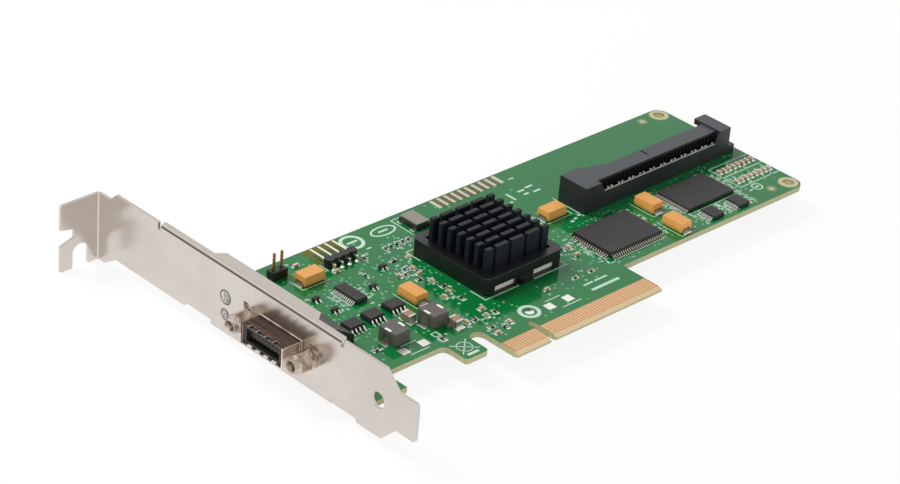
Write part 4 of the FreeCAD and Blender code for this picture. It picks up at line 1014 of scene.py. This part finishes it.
def port_metal(name):
    """Plated metal, with a painted dark brown reflection above and dark round the mouth, with streaks along
    the port.
    """
    finish = Finish(name).set(Metallic=0.8)
    shades = colours()
    streak = finish.grain(0.6, 2.4, 0.05)
    side = finish.varied(streak, shades.nickel, 0.9, 1.18)
    # painted reflection: faces that look up take the dark top colour
    top = finish.varied(streak, shades.nickel_top_painted_reflection, 0.3, 1.6)
    normal = finish.facing()
    up = between(finish.tree, normal["Z"], 0.9, 0.99)
    front = finish.within(maths(finish.tree, "LESS_THAN", normal["X"], -0.7), *MOUTH)
    finish.feed("Base Color", finish.mix(front, finish.mix(up, side, top), shades.mouth))
    return finish.worn(streak, 0.2, 0.34, 0.006)


class CARD_OT_port(bpy.types.Operator):
    """Finish the external port and turn its jack sockets"""

    bl_idname = "card.port"
    bl_label = "External port"

    def execute(self, context):
        dress("external_port_shell", made("port_metal", port_metal), 0.16)
        dress("external_port_housing", plain("insulator_plastic"), 0.06)
        pale = plain("lane_plate")
        dress("external_port_contacts", pale)
        bm = bmesh.new()
        for points in islands("jack_sockets"):
            self.socket(bm, *box_of(points))
        turned = made("socket_metal", socket_metal)
        piece("jack_sockets_turned", bm, turned, 0.05, ("jack_sockets",), 30)
        bm = bmesh.new()
        for points in islands("external_port_contacts"):
            low, high = box_of(points)
            if low.x < OUTER_FACE:  # those in the port's mouth
                slab(bm, (low.x - 0.34, low.y, low.z - 0.1), (low.x + 0.1, high.y, high.z + 0.1))
        piece("lane_tips", bm, pale, 0.03)
        shell = frame["nodes"]["external_port_shell"].data.vertices
        low, high = box_of([v.co / MM for v in shell if v.co.x < OUTER_FACE * MM])
        bm = bmesh.new()
        loop(bm, [self.around(low, high, x, aside, over) for x, aside, over in (
            (OUTER_FACE, 0.0, 0.0), (OUTER_FACE, 0.7, 0.55), (OUTER_FACE - 0.12, 0.7, 0.55),
            (OUTER_FACE - 0.26, 0.45, 0.36), (OUTER_FACE - 0.26, 0.2, 0.14), (OUTER_FACE - 0.12, 0.0, 0.0))])
        piece("port_gasket", bm, turned, 0.03)
        return {"FINISHED"}

    def around(self, low, high, x, aside, over):
        """A rectangle round the collar, upright on the bracket."""
        return [(x, low.y - aside, low.z - over), (x, high.y + aside, low.z - over),
                (x, high.y + aside, high.z + over), (x, low.y - aside, high.z + over)]

    def socket(self, bm, low, high):
        """A hex post with a turned nose, a countersunk bore and a thread."""
        y, z = (low.y + high.y) / 2, (low.z + high.z) / 2
        flats = min(high.y - low.y, high.z - low.z) / 2
        corner = max(high.y - low.y, high.z - low.z) / 2
        first = 0.0 if high.y - low.y > high.z - low.z else math.pi / 6

        def ring(x, radius, hexed=False):
            points = []
            for k in range(36):
                angle = first + 2 * math.pi * k / 36
                edge = flats / math.cos((angle - first) % (math.pi / 3) - math.pi / 6)
                reach = min(edge, radius) if hexed else radius
                points.append((x, y + reach * math.cos(angle), z + reach * math.sin(angle)))
            return points

        rings = [ring(low.x + 4.6, 0.02), ring(low.x + 4.4, 1.0)]
        for k in range(8, 0, -1):
            rings += [ring(low.x + 0.5 * k + 0.3, 1.05), ring(low.x + 0.5 * k + 0.05, 1.25)]
        rings += [ring(low.x + 0.3, 1.3), ring(low.x, 1.5)]
        waist = flats - 0.2
        for x, radius in ((0.0, 1.75), (0.15, 1.9), (1.3, 1.9), (1.35, waist), (1.7, corner), (4.9, corner),
                          (5.0, waist), (5.35, waist), (5.45, corner)):
            rings.append(ring(low.x + x, radius, True))
        skin(bm, [*rings, ring(high.x, corner, True)])


class CARD_OT_indicator(bpy.types.Operator):
    """Finish the indicator housing and dome its lenses"""

    bl_idname = "card.indicator"
    bl_label = "Indicator"

    def execute(self, context):
        dress("indicator_housing", plain("black_plastic"), 0.15)
        bm = bmesh.new()
        for points in islands("indicator_lenses"):
            low, high = box_of(points)
            y, z, radius = (low.y + high.y) / 2, (low.z + high.z) / 2, (high.y - low.y) / 2
            shares = (0.02, 0.3, 0.55, 0.75, 0.9)
            rings = [(low.x + 0.25 * (share * share), radius * share) for share in shares]
            rings += [(low.x + 0.3, radius * 0.97), (low.x + 0.42, radius), (high.x, radius)]
            skin(bm, [[(x, y + r * c, z + r * s) for c, s in turns(40)] for x, r in rings])
        piece("lens_domes", bm, made("frosted_lens", self.frosted), 0, ("indicator_lenses",), 50)
        return {"FINISHED"}

    def frosted(self, name):
        """Mottled pale resin, with painted shade where the dome turns to its rim."""
        finish = Finish(name).set(Roughness=0.3)
        shade = colours().lens
        tint = finish.mix(finish.patches(0.9, 0.42, 0.6), darker(shade, 0.45), darker(shade, 1.15))
        # painted shade: faces that don't look straight out of the bracket take 0.4 of the lens colour
        outward = maths(finish.tree, "MULTIPLY", finish.facing()["X"], -1.0)
        front = between(finish.tree, outward, 0.93, 0.985)
        finish.feed("Base Color", finish.mix(front, darker(shade, 0.4), tint))
        return finish.bump(finish.grain(0.7).outputs["Height"], 0.06)


class CARD_OT_headers(bpy.types.Operator):
    """Finish the two pin headers and notch the angled one"""

    bl_idname = "card.headers"
    bl_label = "Pin headers"

    def execute(self, context):
        dress("jumper_header", plain("black_plastic"), 0.1)
        dress("angle_header", plain("black_plastic"), 0.1)
        low, high = span("angle_header")
        bm = bmesh.new()
        outline = self.notched(low, high, len(islands("angle_pins")), 0.55)
        skin(bm, [[(x, y, z) for x, y in outline] for z in (low.z, high.z)])
        piece("angle_header_blocks", bm, plain("black_plastic"), 0.08, ("angle_header",))
        dress("jumper_pins", plain("aged_pin_plate"), 0.12)
        dress("angle_pins", plain("pin_plate"), 0.08)
        return {"FINISHED"}

    def notched(self, low, high, count, notch):
        """The outline of a row of pin blocks, notched between the pins."""
        pitch = (high.x - low.x) / count
        near = [(low.x, low.y + notch)]
        for k in range(count):
            one, two = low.x + pitch * k, low.x + pitch * (k + 1)
            near += [(one + notch, low.y), (two - notch, low.y), (two, low.y + notch)]
        return near + [(x, low.y + high.y - y) for x, y in reversed(near)]


# Radius of the dot by the first lead
DOTS = {"support_processor": 0.8, "memory_chip": 0.55, "buffer_chip": 0.35, "logic_chip_1": 0.3,
        "logic_chip_2": 0.3, "power_switch_1": 0.3, "power_switch_2": 0.3, "power_switch_3": 0.3}


def moulded_case(bm, low, high, draft, waist):
    """A case that tapers from its parting line to its top and bottom."""
    skin(bm, [
        rectangle(low, high, low[2], draft * 0.8),
        rectangle(low, high, waist - 0.02),
        rectangle(low, high, waist + 0.02),
        rectangle(low, high, high[2], draft),
    ])


class CARD_OT_chips(bpy.types.Operator):
    """Mould the chip cases and finish their leads"""

    bl_idname = "card.chips"
    bl_label = "Chips"

    def execute(self, context):
        draft = sizes().draft / MM
        for node in CHIPS:
            bm = bmesh.new()
            for points in islands(node):
                low, high = box_of(points)
                moulded_case(bm, low, high, draft, low.z + (high.z - low.z) * 0.45)
            piece(f"{node}_case", bm, plain("chip_moulding"), 0.06, (node,))
        bm = bmesh.new()
        for node, radius in DOTS.items():
            low, high = span(node)
            x, y, top = low.x + radius * 2.4, low.y + radius * 2.4, high.z
            loop(bm, [circle(x, y, top + rise, radius * share, 28) for rise, share in (
                (-0.01, 1.0), (0.004, 0.96), (0.004, 0.8), (-0.01, 0.76))])
        piece("first_lead_dots", bm, plain("moulded_dot"))
        for node in LEADS:
            fine = node.startswith(("support", "memory"))
            dress(node, plain("fine_lead_tin" if fine else "bright_tin"))
        return {"FINISHED"}


class CARD_OT_tantalums(bpy.types.Operator):
    """Mould the tantalum capacitors and finish their terminals"""

    bl_idname = "card.tantalums"
    bl_label = "Tantalum capacitors"

    def execute(self, context):
        for k in range(1, 6):
            node = f"tantalum_capacitor_{k}"
            low, high = span(node)
            bm = bmesh.new()
            moulded_case(bm, low, high, sizes().draft / MM, low.z + (high.z - low.z) * 0.38)
            piece(f"{node}_case", bm, plain("tantalum_case"), 0.12, (node,))
        # terminals in tin with painted shade
        dress("tantalum_terminals", plain("dull_tin"))
        return {"FINISHED"}


class CARD_OT_power(bpy.types.Operator):
    """Finish the power inductors and the large ceramic capacitors"""

    bl_idname = "card.power"
    bl_label = "Inductors and ceramics"

    def execute(self, context):
        bm = bmesh.new()
        for k in (1, 2):
            dress(f"power_inductor_{k}", plain("pressed_ferrite"), 0.25)
            low, high = span(f"power_inductor_{k}")
            middle = (low.y + high.y) / 2
            for x in (low.x - 0.04, high.x - 0.81):
                slab(bm, (x, middle - 1.05, high.z - 0.05), (x + 0.85, middle + 1.05, high.z + 0.06), 0.03)
        piece("inductor_clips", bm, plain("solder"), 0.03)
        # terminals in tin with painted shade
        dress("inductor_terminals", plain("dull_tin"), 0.05)
        dress("bulk_capacitors", plain("brown_ceramic"), 0.12)
        dress("bulk_capacitor_caps", plain("bright_tin"), 0.12)
        return {"FINISHED"}


class CARD_OT_chip_parts(bpy.types.Operator):
    """Finish the small chip parts and plate their ends"""

    bl_idname = "card.chip_parts"
    bl_label = "Small chip parts"

    def execute(self, context):
        dress("chip_capacitors", plain("tan_ceramic"), 0.06)
        dress("chip_resistors", plain("black_ceramic"), 0.04)
        cap, over = sizes().cap / MM, 0.03
        bm = bmesh.new()
        for node in SMALL_CHIPS:
            for points in islands(node):
                low, high = box_of(points)
                axis = long_axis(low, high)
                for at_low in (True, False):
                    one, two = low.copy(), high.copy()
                    if at_low:
                        two[axis] = low[axis] + cap
                    else:
                        one[axis] = high[axis] - cap
                    for k in range(2):
                        one[k] -= over
                        two[k] += over
                    two.z += over
                    slab(bm, one, two, 0.06)
        piece("chip_end_caps", bm, plain("bright_tin"), 0.05)
        return {"FINISHED"}


class CARD_OT_controller(bpy.types.Operator):
    """Finish the controller, its heatsink and the frame that holds them"""

    bl_idname = "card.controller"
    bl_label = "Controller and heatsink"

    def execute(self, context):
        dress("controller_substrate", plain("substrate"))
        dress("controller_case", plain("chip_moulding"), 0.1)
        dress("thermal_pad", plain("thermal_pad"))
        dress("heatsink", plain("black_anodised"), 0.12)
        dress("heatsink_frame", plain("frame_plastic"), 0.25)
        return {"FINISHED"}


class CARD_OT_oscillator(bpy.types.Operator):
    """Finish the clock oscillator"""

    bl_idname = "card.oscillator"
    bl_label = "Clock oscillator"

    def execute(self, context):
        dress("oscillator_base", plain("black_ceramic"), 0.1)
        dress("oscillator_lid", plain("lid_metal"), 0.2)
        return {"FINISHED"}


# Internal connector: end block and tower lengths, and the front wall's height
BAY_LEFT, BAY_RIGHT, LIP_HIGH = 5.9, 6.9, 4.9


class CARD_OT_connector(bpy.types.Operator):
    """Finish the internal connector, shape its contacts and add its combs and gussets"""

    bl_idname = "card.connector"
    bl_label = "Internal connector"

    def execute(self, context):
        grey = plain("connector_plastic")
        dress("internal_connector_housing", grey, 0.12)
        low, high = span("internal_connector_housing")
        bm, comb = bmesh.new(), bmesh.new()
        for k, points in enumerate(islands("internal_connector_contacts")):
            one, two = box_of(points)
            y, tip = one.y, two.z - (0.0 if k % 3 else 0.9)
            outline = ((y, one.z), (y + 0.2, one.z), (y + 0.2, tip - 1.3), (y + 0.24, tip - 0.5),
                       (y + 0.2, tip), (y + 0.02, tip), (y + 0.06, tip - 0.6))
            skin(bm, [[(x, *point) for point in outline] for x in (one.x, two.x)])
            slab(comb, (one.x - 0.1, y + 0.72, one.z), (two.x + 0.1, y + 1.1, 7.1))
        piece("spring_contacts", bm, plain("spring_tin"), 0.03, ("internal_connector_contacts",))
        # ribs between the contacts, near black as painted shade inside the slot
        piece("contact_comb", comb, plain("deep_black_plastic"), 0.04)
        bm = bmesh.new()
        y, left, right, lip = low.y, low.x + BAY_LEFT, high.x - BAY_RIGHT, LIP_HIGH
        for x, way in ((left, 1), (right, -1)):
            side = [(x, lip), (x + way * 1.7, lip), (x + way * 1.5, lip + 0.1), (x, high.z - 0.6)]
            skin(bm, [[(a, b, c) for a, c in side] for b in (y, y + 0.65)])
        piece("bay_gussets", bm, grey, 0.03)
        bm = bmesh.new()
        # a thin strip along the front wall's top edge, coloured as a painted highlight
        slab(bm, (left + 1.6, y + 0.02, lip - 0.02), (right - 1.6, y + 0.6, lip + 0.05), 0.06)
        piece("front_wall_rim", bm, plain("worn_rim_plastic"))
        return {"FINISHED"}


FLOOR_HALF = 4.0  # half of the floor's width, metres


def seen_rays(tree):
    """1 for rays that show what lies behind the card: straight, mirrored or through glass."""
    path = add_node(tree, "ShaderNodeLightPath").outputs
    seen = maths(tree, "MAXIMUM", path["Is Camera Ray"], path["Is Glossy Ray"])
    return maths(tree, "MAXIMUM", seen, path["Is Transmission Ray"])


class CARD_OT_stage(bpy.types.Operator):
    """Lay the floor, set the light and place the camera"""

    bl_idname = "card.stage"
    bl_label = "Stage"

    def execute(self, context):
        stage = context.scene.card_stage
        self.lay_floor(stage)
        self.light(context.scene, stage)
        self.place_camera(context.scene, stage)
        return {"FINISHED"}

    def lay_floor(self, stage):
        bm = bmesh.new()
        corners = rectangle((-FLOOR_HALF, -FLOOR_HALF), (FLOOR_HALF, FLOOR_HALF), CAD_BOX[0].z - 0.05 * MM)
        bm.faces.new([bm.verts.new(corner) for corner in corners])
        mesh = bpy.data.meshes.new("floor")
        bm.to_mesh(mesh)
        bm.free()
        finish = Finish("pale_floor").set(Roughness=0.9)
        grain = finish.grain(30.0, 0.5)
        white = tone(250, 250, 250)
        finish.feed("Base Color", finish.mix(grain.outputs["Share"], darker(white, 0.97), white))
        share = maths(finish.tree, "MULTIPLY", seen_rays(finish.tree), 1 - stage.shade)
        glow = add_node(finish.tree, "ShaderNodeEmission", {"Color": (1, 1, 1, 1), "Strength": 1.0})
        both = add_node(finish.tree, "ShaderNodeMixShader", {
            0: share, 1: finish.shader.outputs[0], 2: glow.outputs[0]})
        finish.tree.links.new(both.outputs[0], finish.tree.nodes["Material Output"].inputs["Surface"])
        mesh.materials.append(finish.material)
        floor = bpy.data.objects.new("floor", mesh)
        bpy.context.scene.collection.objects.link(floor)

    def light(self, scene, stage):
        world = bpy.data.worlds.new("even_white")
        world.use_nodes = True
        tree = world.node_tree
        back = tree.nodes["Background"]
        back.inputs["Color"].default_value = (1, 1, 1, 1)
        tree.links.new(ranged(tree, seen_rays(tree), stage.sky, 1.0), back.inputs["Strength"])
        scene.world = world
        middle = (CAD_BOX[0] + CAD_BOX[1]) / 2
        for name, watts, place in (
                ("soft_box", stage.box, stage.box_at), ("front_fill", stage.fill, stage.fill_at)):
            lamp = bpy.data.lights.new(name, "AREA")
            lamp.energy = watts
            lamp.size = 0.4
            thing = bpy.data.objects.new(name, lamp)
            thing.location = middle + Vector(place)
            thing.visible_glossy = False
            thing.rotation_mode = "QUATERNION"
            thing.rotation_quaternion = (middle - thing.location).to_track_quat("-Z", "Y")
            scene.collection.objects.link(thing)

    def place_camera(self, scene, stage):
        data = bpy.data.cameras.new("camera")
        data.sensor_width = 36.0
        data.lens = stage.lens
        data.clip_start, data.clip_end = 0.01, 50.0
        camera = bpy.data.objects.new("camera", data)
        turn, rise = stage.azimuth, stage.elevation
        back = Vector((math.sin(turn) * math.cos(rise), -math.cos(turn) * math.cos(rise), math.sin(rise)))
        camera.rotation_mode = "QUATERNION"
        upright = (-back).to_track_quat("-Z", "Y")
        camera.rotation_quaternion = upright @ Matrix.Rotation(stage.roll, 3, "Z").to_quaternion()
        camera.location = Vector(stage.aim) + back * stage.distance
        scene.collection.objects.link(camera)
        scene.camera = camera
        scene.view_settings.view_transform = "Standard"


STEPS = (CARD_OT_board, CARD_OT_tracks, CARD_OT_solder, CARD_OT_print, CARD_OT_bracket, CARD_OT_port,
         CARD_OT_indicator, CARD_OT_headers, CARD_OT_chips, CARD_OT_tantalums, CARD_OT_power,
         CARD_OT_chip_parts, CARD_OT_controller, CARD_OT_oscillator, CARD_OT_connector, CARD_OT_stage)


class CARD_PT_looks(bpy.types.Panel):
    """Lists the card's pieces in the order they are dressed"""

    bl_idname = "CARD_PT_looks"
    bl_label = "Host bus adapter"
    bl_space_type = "VIEW_3D"
    bl_region_type = "UI"
    bl_category = "Adapter"

    def draw(self, context):
        for step in STEPS:
            self.layout.operator(step.bl_idname)


GROUPS = {"card_colours": CardColours, "card_sizes": CardSizes, "card_stage": CardStage}
CLASSES = (*GROUPS.values(), *STEPS, CARD_PT_looks)


def register():
    for item in CLASSES:
        bpy.utils.register_class(item)
    for name, group in GROUPS.items():
        setattr(bpy.types.Scene, name, PointerProperty(type=group))


def unregister():
    for name in GROUPS:
        delattr(bpy.types.Scene, name)
    for item in reversed(CLASSES):
        bpy.utils.unregister_class(item)


def main():
    register()
    for step in STEPS:
        group, name = step.bl_idname.split(".")
        getattr(getattr(bpy.ops, group), name)()


if __name__ == "__main__":
    main()
